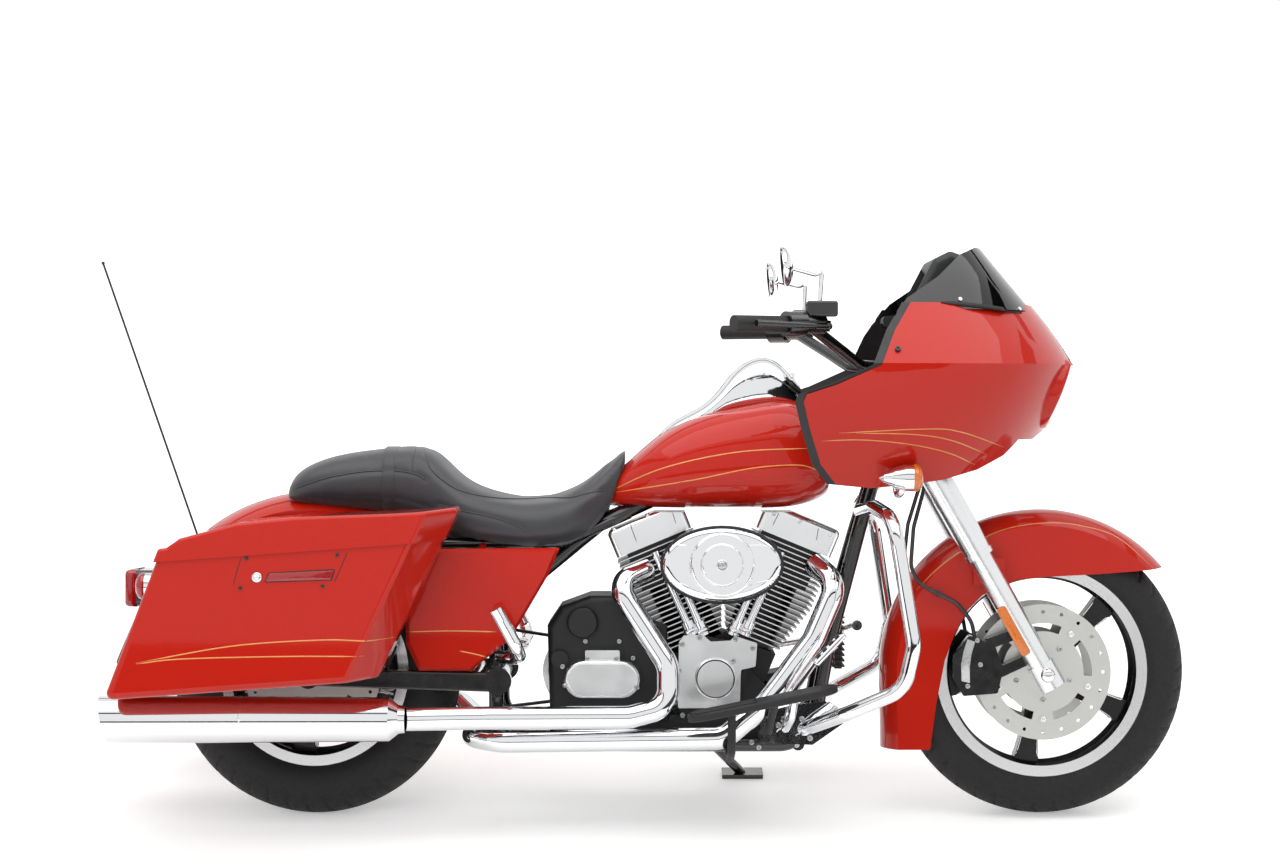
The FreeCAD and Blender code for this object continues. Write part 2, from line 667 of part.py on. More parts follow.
def build_bars():
    """Handlebar with clamps, grips, switch housings with levers, and mirrors."""
    top = on_steering_axis(size("upper_yoke_height"))
    r = size("bar_radius")
    grip = size("grip_length")
    clamp = bar_centre()
    points = bar_points()
    half = tube(points, r, 55)
    bar = half.fuse(mirrored(half)).removeSplitter()
    risers = []
    for side in (-1, 1):
        base = top + STEER_UP * (size("yoke_thickness") / 2) + Vector(0, side * 45, 0)
        risers.append(rod(base, base + STEER_UP * 16, 17))
        cup = Vector(clamp.x, side * 45 - 15, clamp.z)
        risers.append(rod(cup, cup + Vector(0, 30, 0), r + 9))
    bar = bar.fuse(risers).removeSplitter()
    piece("handlebar", bar)

    tip = Vector(*points[-1])
    inward = (Vector(*points[-2]) - tip).normalize()
    sleeve = doc.addObject("Part::Cut", "grip_sleeve")
    sleeve.Base = round_bar("grip_outside", tip - inward * 4, tip + inward * grip, "Sizes.grip_radius")
    sleeve.Tool = round_bar("grip_bore", tip, tip + inward * (grip + 5), "Sizes.bar_radius + Sizes.joint_gap / 10")
    side_pair("grips", sleeve)

    inner = tip + inward * (grip + 1)
    housing = rod(inner, inner + inward * 44, 27)
    reservoir = Part.makeBox(66, 52, 34)
    reservoir = rounded(reservoir, 6)
    reservoir.translate(inner + inward * 78 + Vector(-20, -26, 16))
    clamp_ring = rod(inner + inward * 44, inner + inward * 96, 21)
    lever_base = inner + inward * 74 + Vector(34, 0, -4)
    lever = tube([lever_base, lever_base - inward * 60 + Vector(16, 0, 0), tip + Vector(44, 10, 0)], 7, 40)
    link = rod(inner + inward * 74, lever_base, 12)
    controls = housing.fuse([clamp_ring, reservoir, lever, link])
    controls = controls.cut(tube(points, r + GAP / 10, 55))
    piece("bar_controls", both_sides(largest(controls)))

    foot = inner + inward * 88 + Vector(0, 0, 51)
    head = Vector(233, foot.y + 46, 1202)
    stalk = tube([foot, foot + Vector(4, 4, 62), (foot.x - 8, foot.y + 14, 1188), head], 5, 22)
    shell = Part.makeSphere(50)
    squash = Matrix()
    squash.scale(Vector(0.36, 1.35, 0.86))
    shell = shell.transformGeometry(squash)
    shell = shell.common(box(-4, 60, -100, 100, -100, 100))
    shell.rotate(Vector(0, 0, 0), Vector(0, 1, 0), -6)
    shell.translate(head + Vector(-12, 0, 2))
    mirror = shell.fuse(stalk)
    piece("mirrors", both_sides(largest(mirror)))


def build_calipers():
    """Front brake calipers behind the legs, each astride its disc, with a hose clipped beside the fender."""
    offset, thin = size("front_disc_offset"), size("disc_thickness") / 2
    outer_y = size("fork_half_spacing") - 8
    outline = ((-104, -44), (-180, -50), (-202, -10), (-200, 40), (-166, 84), (-110, 60), (-92, 10))
    slab = prism(outline, -outer_y, -offset - thin - 2)
    pads = prism(((-108, -36), (-140, -52), (-158, -20), (-158, 30), (-128, 62), (-100, 40)), -offset + thin + 2,
                 -offset + thin + 16)
    bridge = prism(((-152, -18), (-163, -18), (-163, 28), (-152, 28)), -offset - thin - 4, -offset + thin + 16)
    lugs = [prism(((-30, 22), (-120, -20), (-120, 6), (-30, 46)), -outer_y, -outer_y + 14),
            prism(((-40, 84), (-130, 50), (-130, 76), (-40, 108)), -outer_y, -outer_y + 14)]
    caliper = rounded(slab, 5, runs_across).fuse([pads, bridge] + lugs)
    caliper.translate(FRONT_AXLE)
    legs = [rod(on_fork_leg(-60, -1), on_fork_leg(600, -1), size("slider_radius") + GAP)]
    caliper = largest(caliper.cut(legs))
    hose = tube([(656, -98, 378), (646, -97, 434), (614, -95, 474), (572, -94, 495), (532, -93, 514),
                 (512, -88, 552), (520, -72, 640), (546, -58, 730), (566, -50, 782)], 4.5, 60)
    clip = rod(Vector(572, -98, 495), Vector(572, -size("front_fender_half_width") - 1, 495), 7)
    union = rod(Vector(656, -98, 370), Vector(654, -98, 394), 8)
    caliper = caliper.fuse([hose, clip, union])
    piece("front_calipers", both_sides(largest(caliper)))


# Side stand geometry, which the frame carries a hinge for.

def stand_foot():
    """Where the side stand's foot meets the floor once the machine leans."""
    tilt = math.radians(size("lean_angle"))
    lift = max(size("front_tyre_crown"), size("rear_tyre_crown")) * (1 - math.cos(tilt))
    foot_y = 292
    return Vector(150, foot_y, (foot_y * math.sin(tilt) - lift) / math.cos(tilt))


STAND_HINGE = Vector(60, 162, 156)
STAND_FOLDED = Vector(-190, 44, -4)


def stand_axis():
    """Hinge line of the side stand: square to the leg both when down and when folded back."""
    down = stand_foot() - STAND_HINGE
    return down.cross(STAND_FOLDED).normalize()


# Frame and engine.

def build_frame():
    """Tubular double cradle with a narrow neck between the fork legs."""
    r, rail, low = size("frame_tube_radius"), size("rail_half_spacing"), size("rail_height")
    yoke_room = size("yoke_thickness") / 2 + 2
    foot = on_steering_axis(size("lower_yoke_height")) + STEER_UP * yoke_room
    top = on_steering_axis(size("upper_yoke_height")) - STEER_UP * yoke_room
    bore = size("stem_radius") + size("bearing_gap")
    head = rod(foot, top, size("head_tube_radius"))
    middle = (foot + top) * 0.5
    backbone_start = Vector(middle.x, 0, middle.z)
    backbone = tube([backbone_start, (middle.x - 120, 0, middle.z - 20), (-10, 0, 716)], size("backbone_radius"), 80)
    gusset = prism(((middle.x + 8, middle.z - 40), (middle.x - 100, 770), (middle.x - 110, 850), (middle.x, middle.z)),
                   -22, 22)
    bracket = box(middle.x + 10, 742 - GAP, -20, 20, 872, 924)
    tubes = [head, backbone, gusset, bracket]
    outer = rail + 20
    for s in (-1, 1):
        tubes.append(tube([
            (middle.x - 94, s * 17, 800), (402, s * 58, 640), (330, s * 96, 380), (296, s * 112, low + 40),
            (240, s * rail, low), (-290, s * rail, low), (PIVOT.x - 5, s * outer, low + 40),
            (PIVOT.x - 5, s * outer, PIVOT.z + 110), (-300, s * 104, 545), (-170, s * 66, 650), (-30, s * 24, 712),
        ], r, 60))
        tubes.append(tube([(-110, s * 50, 670), (-250, s * 112, 610), (-560, s * 128, 606),
                           (-900, s * 128, 640)], 12, 60))
    tubes.append(rod(Vector(PIVOT.x, -outer, PIVOT.z), Vector(PIVOT.x, outer, PIVOT.z), 18))
    tubes.append(rod(Vector(262, -rail, low), Vector(262, rail, low), 14))
    tubes.append(rod(Vector(-300, -104, 545), Vector(-300, 104, 545), 12))
    bag = size("bag_inner_offset")
    axis = stand_axis()
    hinge_pin = rod(STAND_HINGE - axis * 22, STAND_HINGE + axis * 22, 7)
    cheeks = [rod(STAND_HINGE + axis * (s * 14), STAND_HINGE + axis * (s * 20), 15) for s in (-1, 1)]
    inward = Vector(0, rail + 4, low) - STAND_HINGE
    inward = (inward - axis * inward.dot(axis)).normalize()
    webs = [rod(STAND_HINGE + axis * (s * 20) + inward * 4, STAND_HINGE + axis * (s * 20) + inward * 40, 5.5)
            for s in (-1, 1)]
    tubes += [hinge_pin] + cheeks + webs
    for s in (-1, 1):
        tubes.append(tube([(-588, s * 128, 606), (-588, s * 168, 566), (-588, s * bag, 566)], 9, 20))
        tubes.append(tube([(-880, s * 128, 638), (-880, s * 168, 566), (-880, s * bag, 566)], 9, 20))
    frame = tubes[0].fuse(tubes[1:])
    pin = rod(PIVOT - Vector(0, 200, 0), PIVOT + Vector(0, 200, 0), 12 + size("bearing_gap"))
    frame = frame.cut([rod(foot - STEER_UP * 10, top + STEER_UP * 10, bore), pin])
    frame = largest(frame)
    piece("frame", frame)
    return frame


def cylinder_turn(side):
    """Placement of one cylinder: its own z runs up the bore from the crankshaft."""
    return Placement(CRANK, Rotation(Vector(0, 1, 0), side * size("cylinder_angle")))


BASE_S, DECK_S, HEAD_S, ROCKER_S = 150, 300, 392, 455


def build_cylinders():
    """Both finned cylinders with heads, and the rocker boxes above them."""
    pitch, thick, depth = size("fin_pitch"), size("fin_thickness"), size("fin_half_depth")
    lean = math.tan(math.radians(size("cylinder_angle")))
    cylinders, rockers, cases, rooms = [], [], [], []
    for side in (-1, 1):
        core = Part.makeCylinder(size("barrel_radius"), DECK_S - BASE_S, Vector(0, 0, BASE_S))
        head = Part.makeBox(140, 2 * (depth - 22), HEAD_S - DECK_S, Vector(-70, -depth + 22, DECK_S))
        reach = 88
        envelope = prism(((side * 62, BASE_S), (side * 96, DECK_S - 30), (side * 96, HEAD_S), (-side * reach, HEAD_S),
                          (-side * reach, (reach + 5) / lean), (-side * (BASE_S * lean - 5), BASE_S)), -depth, depth)
        if envelope.Volume < 0:
            envelope.reverse()
        fins = []
        s = BASE_S + pitch
        while s < HEAD_S - pitch / 2:
            fins.append(box(-120, 120, -depth - 10, depth + 10, s, s + thick))
            s += pitch
        plates = envelope.common(Part.makeCompound(fins))
        shape = core.fuse([head] + plates.Solids)
        shape.Placement = cylinder_turn(side)
        room = box(-98, 98, -depth - 12, depth + 12, BASE_S, HEAD_S)
        room.Placement = cylinder_turn(side)
        rooms.append(room)
        cylinders.append(largest(shape.removeSplitter()))
        rocker = Part.makeBox(178, 2 * depth - 10, ROCKER_S - HEAD_S - GAP,
                              Vector(-89 + side * 4, -depth + 5, HEAD_S + GAP))
        rocker = rounded(rocker, 12, lambda e: e.BoundBox.ZMin > HEAD_S + 5 or e.BoundBox.ZLength > 20)
        rocker.Placement = cylinder_turn(side)
        rocker = rocker.common(box(-400, 600, -200, 200, 0, size("rocker_top_height")))
        rockers.append(largest(rocker))
        base = Part.makeBox(124, 2 * depth - 20, BASE_S - 62 - GAP, Vector(-62, -depth + 10, 62))
        base.Placement = cylinder_turn(side)
        cases.append(base)
    piece("cylinders", Part.makeCompound(cylinders))
    piece("rocker_covers", Part.makeCompound(rockers))

    half = size("case_half_width")
    case = Part.makeCylinder(size("case_radius"), 2 * half, CRANK - Vector(0, half, 0), Vector(0, 1, 0))
    pan = rounded(box(-250, 180, -half, half, 146, 230), 16)
    chest = prism(((8, 252), (4, 392), (50, 404), (150, 386), (158, 336), (130, 262)), -half - 24, -half + 2)
    case = case.fuse(cases + [pan, chest]).removeSplitter()
    for cylinder in cylinders:
        case = case.cut(cylinder)
    piece("engine_case", largest(case))
    return largest(case), cylinders, rooms


def build_engine_dress(case, cylinders, rooms):
    """Gearbox, covers, air cleaner, pushrod tubes and horn cover."""
    half = size("case_half_width")
    outline = ((-284, 210), (-290, 424), (-262, 466), (-196, 490), (-132, 490), (-84, 452), (-20, 430), (-20, 210))
    gearbox = rounded(prism(outline, -half - 8, half), 16, lambda e: not runs_across(e))
    starter = rod(Vector(-212, -half - 26, 432), Vector(-212, -40, 432), 34)
    gearbox = gearbox.fuse(rounded(starter, 6, lambda e: e.BoundBox.YMax < -half - 20))
    shaft_x, shaft_z = -232, PIVOT.z
    pulley_y = size("belt_offset") + size("belt_width") / 2
    pulley = rod(Vector(shaft_x, half - 10, shaft_z), Vector(shaft_x, pulley_y, shaft_z), size("front_pulley_radius"))
    filler = rod(Vector(-262, -half + 6, 352), Vector(-262, -half - 22, 352), 19)
    gearbox = gearbox.fuse([pulley, filler]).cut([case] + rooms)
    piece("gearbox", largest(gearbox))

    front = -half - 24
    cam = prism(((-2, 246), (0, 390), (10, 405), (52, 407), (70, 392), (112, 394), (124, 404), (172, 388),
                 (168, 337), (136, 330), (134, 262), (101, 246)), front - 14, front - GAP)
    cam = rounded(cam, 4, runs_across)
    timer = rod(Vector(80, front - 10, 311), Vector(80, front - 24, 311), 46)
    cam = cam.fuse(rounded(timer, 4))
    side = stadium((-210, 309), (-126, 309), 42, -half - 46, -half - 8 - GAP)
    side = rounded(side, 9, lambda e: e.BoundBox.YMax < -half - 40)
    tab = rounded(box(-206, -130, -half - 28, -half - 8 - GAP, 346, 372), 4, runs_across)
    side = side.fuse(tab)
    primary = stadium((94, 292), (-212, 304), 96, half + GAP, half + 62)
    primary = rounded(primary, 18, lambda e: e.BoundBox.YMin > half + 50)
    clutch = rod(Vector(-206, half + 58, 304), Vector(-206, half + 72, 304), 76)
    coil = rod(Vector(92, half + 58, 292), Vector(92, half + 68, 292), 52)
    primary = primary.fuse([rounded(clutch, 4), rounded(coil, 4)])
    # Room for the belt behind the primary cover.
    belt_room = rod(Vector(shaft_x, half - 20, shaft_z), Vector(shaft_x, pulley_y + 4, shaft_z),
                    size("front_pulley_radius") + 14)
    tunnel = box(-420, shaft_x, half - 20, pulley_y + 4, shaft_z - 95, shaft_z + 95)
    primary = primary.cut([belt_room, tunnel])
    piece("engine_covers", Part.makeCompound([largest(cam), largest(side), largest(primary)]))

    centre_x, centre_z = CRANK.x - 6, CRANK.z + size("air_cleaner_rise")
    long_half, tall_half = size("air_cleaner_length") / 2, size("air_cleaner_height") / 2

    def oval(scale, near, far):
        ring = Part.Ellipse(Vector(0, 0, 0), long_half * scale, tall_half * scale).toShape()
        face = Part.Face(Part.Wire(ring))
        face.rotate(Vector(0, 0, 0), Vector(1, 0, 0), 90)
        face.translate(Vector(centre_x, near, centre_z))
        return face.extrude(Vector(0, far - near, 0))

    lid = oval(1, -162, -206)
    lid = rounded(lid, 20, lambda e: e.BoundBox.YMax < -200)
    dome = rod(Vector(centre_x, -200, centre_z), Vector(centre_x, -214, centre_z), 70)
    badge = rod(Vector(centre_x, -210, centre_z), Vector(centre_x, -220, centre_z), 46)
    lid = lid.fuse([rounded(dome, 6), rounded(badge, 4)])
    filter_ring = oval(0.94, -126, -162)
    throat = rod(Vector(centre_x + 6, -130, centre_z - 10), Vector(centre_x + 6, -40, centre_z - 10), 34)
    cleaner = lid.fuse([filter_ring, throat]).cut(cylinders).removeSplitter()
    piece("air_cleaner", largest(cleaner))

    tubes = []
    for foot_x, head_x in ((30, -52), (56, -22), (118, 196), (144, 226)):
        foot = Vector(foot_x, -half - 14, 404 + GAP)
        top = Vector(head_x, -half - 14, 588)
        tubes.append(rod(foot, top, 9).fuse(rod(foot, foot + (top - foot) * 0.16, 14)))
    tubes = [largest(t.cut([case, largest(cam)])) for t in tubes]
    piece("pushrod_tubes", Part.makeCompound(tubes))

    horn = oval(0.62, half + 30, half + 70)
    horn.translate(Vector(6, 0, 0))
    horn = rounded(horn, 14, lambda e: e.BoundBox.YMin > half + 60)
    neck = rod(Vector(centre_x + 6, half + 31, centre_z), Vector(centre_x + 6, 30, centre_z), 38)
    horn = horn.fuse(neck).cut(cylinders)
    piece("horn_cover", largest(horn))


def build_exhaust(cylinders):
    """Headers under their shields, the crossover, and both mufflers."""
    r, side, height = size("header_radius"), size("muffler_half_spacing"), size("muffler_height")
    joint_x = -576
    rear = tube([(-70, -88, 548), (-139, -150, 520), (-24, -192, 345), (-24, -206, 256), (-110, -226, height - 4),
                 (-420, -256, height - 2), (joint_x - 10, -side, height)], r, 60)
    front = tube([(300, -88, 560), (346, -150, 520), (292, -176, 400), (188, -188, 262), (96, -188, 186),
                  (-390, -188, 180), (-452, -150, 186), (-452, 150, 186), (-500, 240, 218),
                  (joint_x - 10, side, height)], r, 60)
    big = size("muffler_radius")
    length = size("muffler_length")
    start = joint_x - 10 - GAP
    profile = ((0, 0), (0, r + 4), (-14, r + 6), (-34, big - 3), (-length * 0.6, big), (-length, big),
               (-length, big - 5), (-length + 90, big - 5), (-length + 90, 0))
    can = doc.addObject("PartDesign::Body", "muffler_can")
    revolve_outline(can, "muffler_turning", profile, "XZ_Plane")
    slash_sketch = new_sketch(can, "muffler_tip_line")
    sketch_outline(slash_sketch, ((-length - 60, -big - 20), (-length + 26, -big - 20), (-length - 2, big + 20),
                                  (-length - 60, big + 20)))
    doc.recompute()
    can.Tip = through_pocket(can, "muffler_tip_cut", slash_sketch, 4 * big)
    can.Placement = Placement(Vector(start, -side, height), Rotation())
    mufflers = side_pair("mufflers", can)
    doc.recompute()
    headers = [largest(h.cut(mufflers.Shape.Solids + cylinders)) for h in (rear, front)]
    piece("exhaust_headers", Part.makeCompound(headers))


# Bodywork.

def tank_sections(grow=0):
    """Stations of the teardrop tank from tail to nose: x, half width, bottom, top."""
    wide = size("tank_half_width")
    stations = (
        (-168, 0.26, 688, 736), (-120, 0.50, 684, 778), (-40, 0.78, 682, 846), (60, 0.95, 681, 894),
        (160, 1.0, 681, 918), (245, 0.99, 684, 924), (300, 0.86, 696, 900), (334, 0.52, 722, 852),
    )
    return [oval_section(x, wide * w + grow, low - grow, high + grow, 2.5, 0.46) for x, w, low, high in stations]


FUEL_DOOR_HINGE = Vector(256, 0, 979)


def build_tank(frame):
    """Fuel tank saddled over the backbone, console on top of it, and the hinged filler door."""
    tank = loft(tank_sections())
    middle = (on_steering_axis(size("lower_yoke_height")) + on_steering_axis(size("upper_yoke_height"))) * 0.5
    spine = tube([(middle.x, 0, middle.z), (middle.x - 120, 0, middle.z - 20), (-10, 0, 716), (-260, 0, 640)],
                 size("backbone_radius") + GAP, 80)
    slot = prism(((-300, 500), (500, 500), (500, 845), (300, 818), (-10, 716), (-300, 610)),
                 -size("backbone_radius") - GAP, size("backbone_radius") + GAP)
    tank = largest(tank.cut([spine, slot, frame]))
    piece("fuel_tank", tank)

    stations = ((-104, 38, 752, 806), (-40, 49, 800, 848), (24, 58, 846, 893), (78, 65, 878, 931),
                (118, 70, 892, 980), (156, 74, 896, 1009), (196, 74, 900, 1016), (238, 67, 902, 991),
                (272, 50, 904, 954))
    console = loft([oval_section(x, w, low, high, 2.8, 0.4) for x, w, low, high in stations])
    # The filler door is the top of the dome, cut off by a plane that falls to the rear.
    above = prism(((100, 962), (262, 976), (262, 1100), (100, 1100)), -90, 90)
    above_seam = prism(((100, 962 + GAP), (262, 976 + GAP), (262, 1100), (100, 1100)), -90, 90)
    door, console = largest(console.common(above_seam)), console.cut([loft(tank_sections(GAP)), above])
    # Door hinge: one knuckle on the door between two on the console.
    hinge = FUEL_DOOR_HINGE
    knuckle = rod(hinge - Vector(0, 11, 0), hinge + Vector(0, 11, 0), 4)
    leaf = box(hinge.x - 16, hinge.x, -11, 11, hinge.z - 1, hinge.z + 3)
    room = rod(hinge - Vector(0, 12, 0), hinge + Vector(0, 12, 0), 5)
    ends = [rod(hinge + Vector(0, s * 12, 0), hinge + Vector(0, s * 22, 0), 4) for s in (-1, 1)]
    feet = [box(hinge.x - 1, hinge.x + 4, min(s * 12, s * 22), max(s * 12, s * 22), hinge.z - 22, hinge.z)
            for s in (-1, 1)]
    clear = rod(hinge - Vector(0, 23, 0), hinge + Vector(0, 23, 0), 4 + GAP)
    door = largest(door.cut(clear)).fuse([knuckle, leaf])
    piece("fuel_door", largest(door))
    console = largest(console).cut(room).fuse(ends + feet).cut(door)
    piece("tank_console", largest(console))


def fender_envelope(grow):
    """Solid channel of the rear fender, larger all round by grow."""
    radius, half = size("rear_fender_radius") + grow, size("rear_fender_half_width") + grow
    return fender_channel(REAR_AXLE, radius, half, 36, 38, 67, 235, 78 + grow)


def build_rear_fender():
    """Rear fender with a closed tail panel between the bags, tail lamp, and blank plate."""
    wall = size("fender_wall")
    radius, half = size("rear_fender_radius"), size("rear_fender_half_width")
    outer = fender_envelope(0)
    inner = fender_channel(REAR_AXLE, radius - wall, half - wall, 36, 39, 67, 245, 90)
    fender = outer.cut(inner).cut(box(-1500, -900, -200, 200, 0, 262))
    fender = largest(fender)
    piece("rear_fender", fender)

    tail = math.radians(67)
    spot = REAR_AXLE + Vector(-math.sin(tail), 0, math.cos(tail)) * (radius - 4)
    lamp = rounded(Part.makeBox(70, 120, 80, Vector(-58, -60, -10)), 14, lambda e: e.BoundBox.XMin < -50)
    lamp.translate(spot)
    bracket = Part.makeBox(8, 176, 110, Vector(-6, -88, -150))
    bracket.rotate(Vector(0, 0, 0), Vector(0, 1, 0), 23)
    bracket.translate(spot + Vector(-22, 0, 0))
    stay = Part.makeBox(60, 40, 12, Vector(-40, -20, -62))
    stay.translate(spot)
    lamp = lamp.fuse([bracket, stay]).cut(fender_envelope(0))
    piece("tail_lamp", largest(lamp))

    bar_z = spot.z + 36
    foot = Vector(spot.x + 90, size("rear_fender_half_width") + GAP, bar_z + 50)
    mount = rod(foot, foot + Vector(0, 46, 0), 9)
    base = rod(foot + Vector(0, 44, -8), foot + Vector(-12, 44, 24), 8)
    start = foot + Vector(-10, 44, 20)
    whip = rod(start, Vector(-1318, start.y + 6, 1236), size("antenna_radius"))
    tip = Part.makeSphere(4, Vector(-1318, start.y + 6, 1236))
    antenna = mount.fuse([base, whip, tip]).cut(fender_envelope(0))
    piece("antenna", largest(antenna))


def build_signals():
    """Four bullet lamps: the front pair under the fairing, the rear pair beside the tail."""
    radius = 29

    def bullet(direction):
        nose = ((0, 0), (-64, 0), (-52, 11), (-30, 22), (-8, radius), (14, radius), (24, radius - 5), (28, 0))
        corners = [Vector(direction * x, 0, z) for x, z in nose]
        face = Part.Face(Part.makePolygon(corners[1:] + corners[1:2]))
        return face.revolve(Vector(0, 0, 0), Vector(1, 0, 0), 360)

    front = bullet(1)
    front.translate(Vector(488, -300, 756))
    front_stalk = tube([(482, -300, 756), (474, -284, 724), (468, -262, 716), (464, -250, 752)], 8, 16)
    front = front.fuse(front_stalk)
    rear = bullet(-1)
    tail = Vector(-1152, -170, 516)
    rear.translate(tail)
    rear = rear.fuse(tube([tail + Vector(6, 0, 0), tail + Vector(18, 40, -6), tail + Vector(44, 66, -20)], 8, 30))
    return front, largest(rear.cut(fender_envelope(0)))


def build_seat(panel):
    """Two-up saddle as a soft solid: scooped rider seat, raised pillion."""
    wide = size("seat_half_width")
    stations = (
        (-872, 0.42, 690, 726), (-850, 0.60, 684, 757), (-780, 0.74, 680, 792), (-664, 0.80, 674, 812),
        (-600, 0.82, 662, 818), (-540, 0.86, 634, 806), (-480, 0.93, 604, 752), (-400, 0.98, 592, 716),
        (-310, 1.0, 590, 707), (-235, 0.92, 600, 726), (-180, 0.66, 622, 764), (-140, 0.46, 690, 806),
        (-118, 0.30, 740, 818),
    )
    seat = loft([oval_section(x, wide * w, low, high, 2.7, 0.42) for x, w, low, high in stations])
    console_room = box(-112, 0, -60, 60, 700, 900)
    seat = seat.cut([fender_envelope(1), loft(tank_sections(3)), console_room])
    frame_room = [tube([(-110, s * 50, 670), (-250, s * 112, 610), (-560, s * 128, 606), (-900, s * 128, 640)],
                       12 + 1, 60) for s in (-1, 1)]
    frame_room.append(box(-700, 0, -60, 60, 500, 655))
    frame_room.append(tube([(PIVOT.x - 5, 142, 420), (-300, 104, 545), (-170, 66, 650), (-30, 24, 712)], 18, 60))
    frame_room.append(mirrored(frame_room[-1]))
    cover_room = [both_sides(panel), box(-604, -256, 175, 230, 560, 601), box(-604, -256, -230, -175, 560, 601)]
    seat = seat.cut(frame_room + cover_room)
    return largest(seat)


def build_side_covers(frame):
    """Painted covers under the saddle, each a flat panel with a bevelled edge."""
    outline = ((-600, 570), (-580, 598), (-260, 600), (-284, 543), (-367, 402), (-453, 333), (-566, 333), (-594, 391))
    centre = Vector(-440, 0, 470)

    def ring(y, scale):
        corners = [Vector(centre.x + (x - centre.x) * scale, y, centre.z + (z - centre.z) * scale) for x, z in outline]
        return Part.makePolygon(corners + corners[:1])

    panel = loft([ring(-176, 0.97), ring(-184, 1.0), ring(-196, 0.94)], True)
    foot = rod(Vector(-430, -124, 606), Vector(-430, -184, 572), 8)
    return largest(panel.fuse(foot).cut(frame))


def bag_frame():
    """Placement of the bag's own frame: x along the lid seam, z square to it, at the inner wall."""
    return Placement(Vector(REAR_X, -size("bag_inner_offset"), size("seam_height")),
                     Rotation(Vector(0, 1, 0), -size("seam_slope")))


def bag_solid(low, high, inset):
    """The tapered bag between two heights over the seam: raked ends, and a front end that wraps round."""
    width = size("bag_width")

    def ring(y, front_back, height):
        rear = -291 + 0.466 * height
        front = 304 + 0.558 * height - front_back
        return rear + inset, front - inset, y, height

    def face(height):
        inner = ring(-inset, 0, height)
        outer = ring(-width + inset, 62, height)
        wrap = ring(-width * 0.6, 0, height)
        corners = [Vector(inner[0], inner[2], height), Vector(inner[1], inner[2], height),
                   Vector(wrap[1], wrap[2], height), Vector(outer[1], outer[2], height),
                   Vector(outer[0], outer[2], height)]
        return Part.makePolygon(corners + corners[:1])

    return loft([face(low), face(high)], True)


# Lid hinge line in the bag's own frame.
LID_HINGE = Vector(0, 12, 34)


def build_bags():
    """Hollow saddlebags with their hinged lids."""
    wall, deep, tall = size("bag_wall"), size("bag_height"), size("lid_height")
    body = rounded(bag_solid(-deep, 0, 0), 14, lambda e: e.BoundBox.ZMin < -1)
    body = body.cut(rounded(bag_solid(-deep + wall, 20, wall), 10, lambda e: e.BoundBox.ZMin < 19))
    lid = bag_solid(size("seam_gap"), tall, -5)
    # The lid's top slopes down to the rear and outward.
    ridge = ((420, 67), (258, 65), (200, 66), (12, 73), (-115, 69), (-236, 46), (-266, 28), (-420, 24))
    lid = lid.common(prism([(-420, -10), (420, -10)] + list(ridge), -400, 100))
    lid = rounded(lid, 9, lambda e: e.BoundBox.ZMin > 12 or e.BoundBox.ZLength > 14)
    hollow = bag_solid(-20, tall, wall)
    ceiling = [(-420, -30), (420, -30)] + [(x, z - wall) for x, z in ridge]
    lid = lid.cut(hollow.common(prism(ceiling, -400, 100)))
    body, lid = largest(body), largest(lid)
    # Two door hinges on the inner wall: the lid's knuckle between two that stand up from the body.
    for x in (-150, 150):
        line = Vector(x, LID_HINGE.y, LID_HINGE.z)
        lid = lid.fuse([rod(line - Vector(14, 0, 0), line + Vector(14, 0, 0), 5),
                        box(x - 14, x + 14, 3, line.y, line.z - 9, line.z + 5)])
        for s in (-1, 1):
            near, far = sorted((x + s * 16, x + s * 30))
            body = body.fuse([rod(Vector(near, line.y, line.z), Vector(far, line.y, line.z), 5),
                              box(near, far, 7, line.y + 5, -36, line.z), box(near, far, -2, 8, -36, -8)])
    for shape, name in ((body.removeSplitter(), "saddlebag"), (lid.removeSplitter(), "bag_lid")):
        shape = largest(shape)
        shape.Placement = bag_frame()
        piece(f"{name}_right", shape)
        piece(f"{name}_left", mirrored(shape))


# Fairing.

REAR_EDGE = ((336, 741), (302, 784), (277, 858), (262, 918), (268, 934), (330, 954), (425, 996), (457, 1071),
             (493, 1128))
LOWER_EDGE = ((410, 732), (475, 737), (572, 750), (647, 771), (711, 804), (742, 812), (821, 866))


def plan_curve(nose, rear, half, height, blunt=1.0):
    """Half-plan points of the fairing at a height, from the right rear round the nose to the left rear."""
    length = nose - rear
    shares = ((0, 0.97), (0.3, 1.0), (0.55, 0.94), (0.76, 0.76), (0.9, 0.50 * blunt), (0.975, 0.24 * blunt))
    right = [Vector(rear + length * a, -half * b, height) for a, b in shares]
    left = [Vector(p.x, -p.y, p.z) for p in reversed(right)]
    return right + [Vector(nose, 0, height)] + left


def plan_band(nose, rear, half, height, wall):
    """Closed plan outline of a shell wall: outer curve, inner curve and two straight ends."""
    outer = plan_curve(nose, rear, half, height)
    inner = plan_curve(nose - wall * 1.1, rear, half - wall, height)
    return Part.Wire([
        spline_edge(outer), Part.LineSegment(outer[-1], inner[-1]).toShape(),
        spline_edge(inner[::-1]), Part.LineSegment(inner[0], outer[0]).toShape(),
    ])


def fairing_levels():
    """Plan sizes of the fairing from its lower edge to the windshield base: nose, half width, height."""
    nose, wide, crease = size("nose_forward"), size("fairing_half_width"), size("crease_height")
    lower = ((nose - 176, wide - 150, 715), (nose - 122, wide - 105, 775), (nose - 56, wide - 45, 865),
             (nose, wide, crease))
    upper = ((nose, wide, crease), (nose - 36, wide - 42, crease + 58), (nose - 92, wide - 100, crease + 132))
    return lower, upper


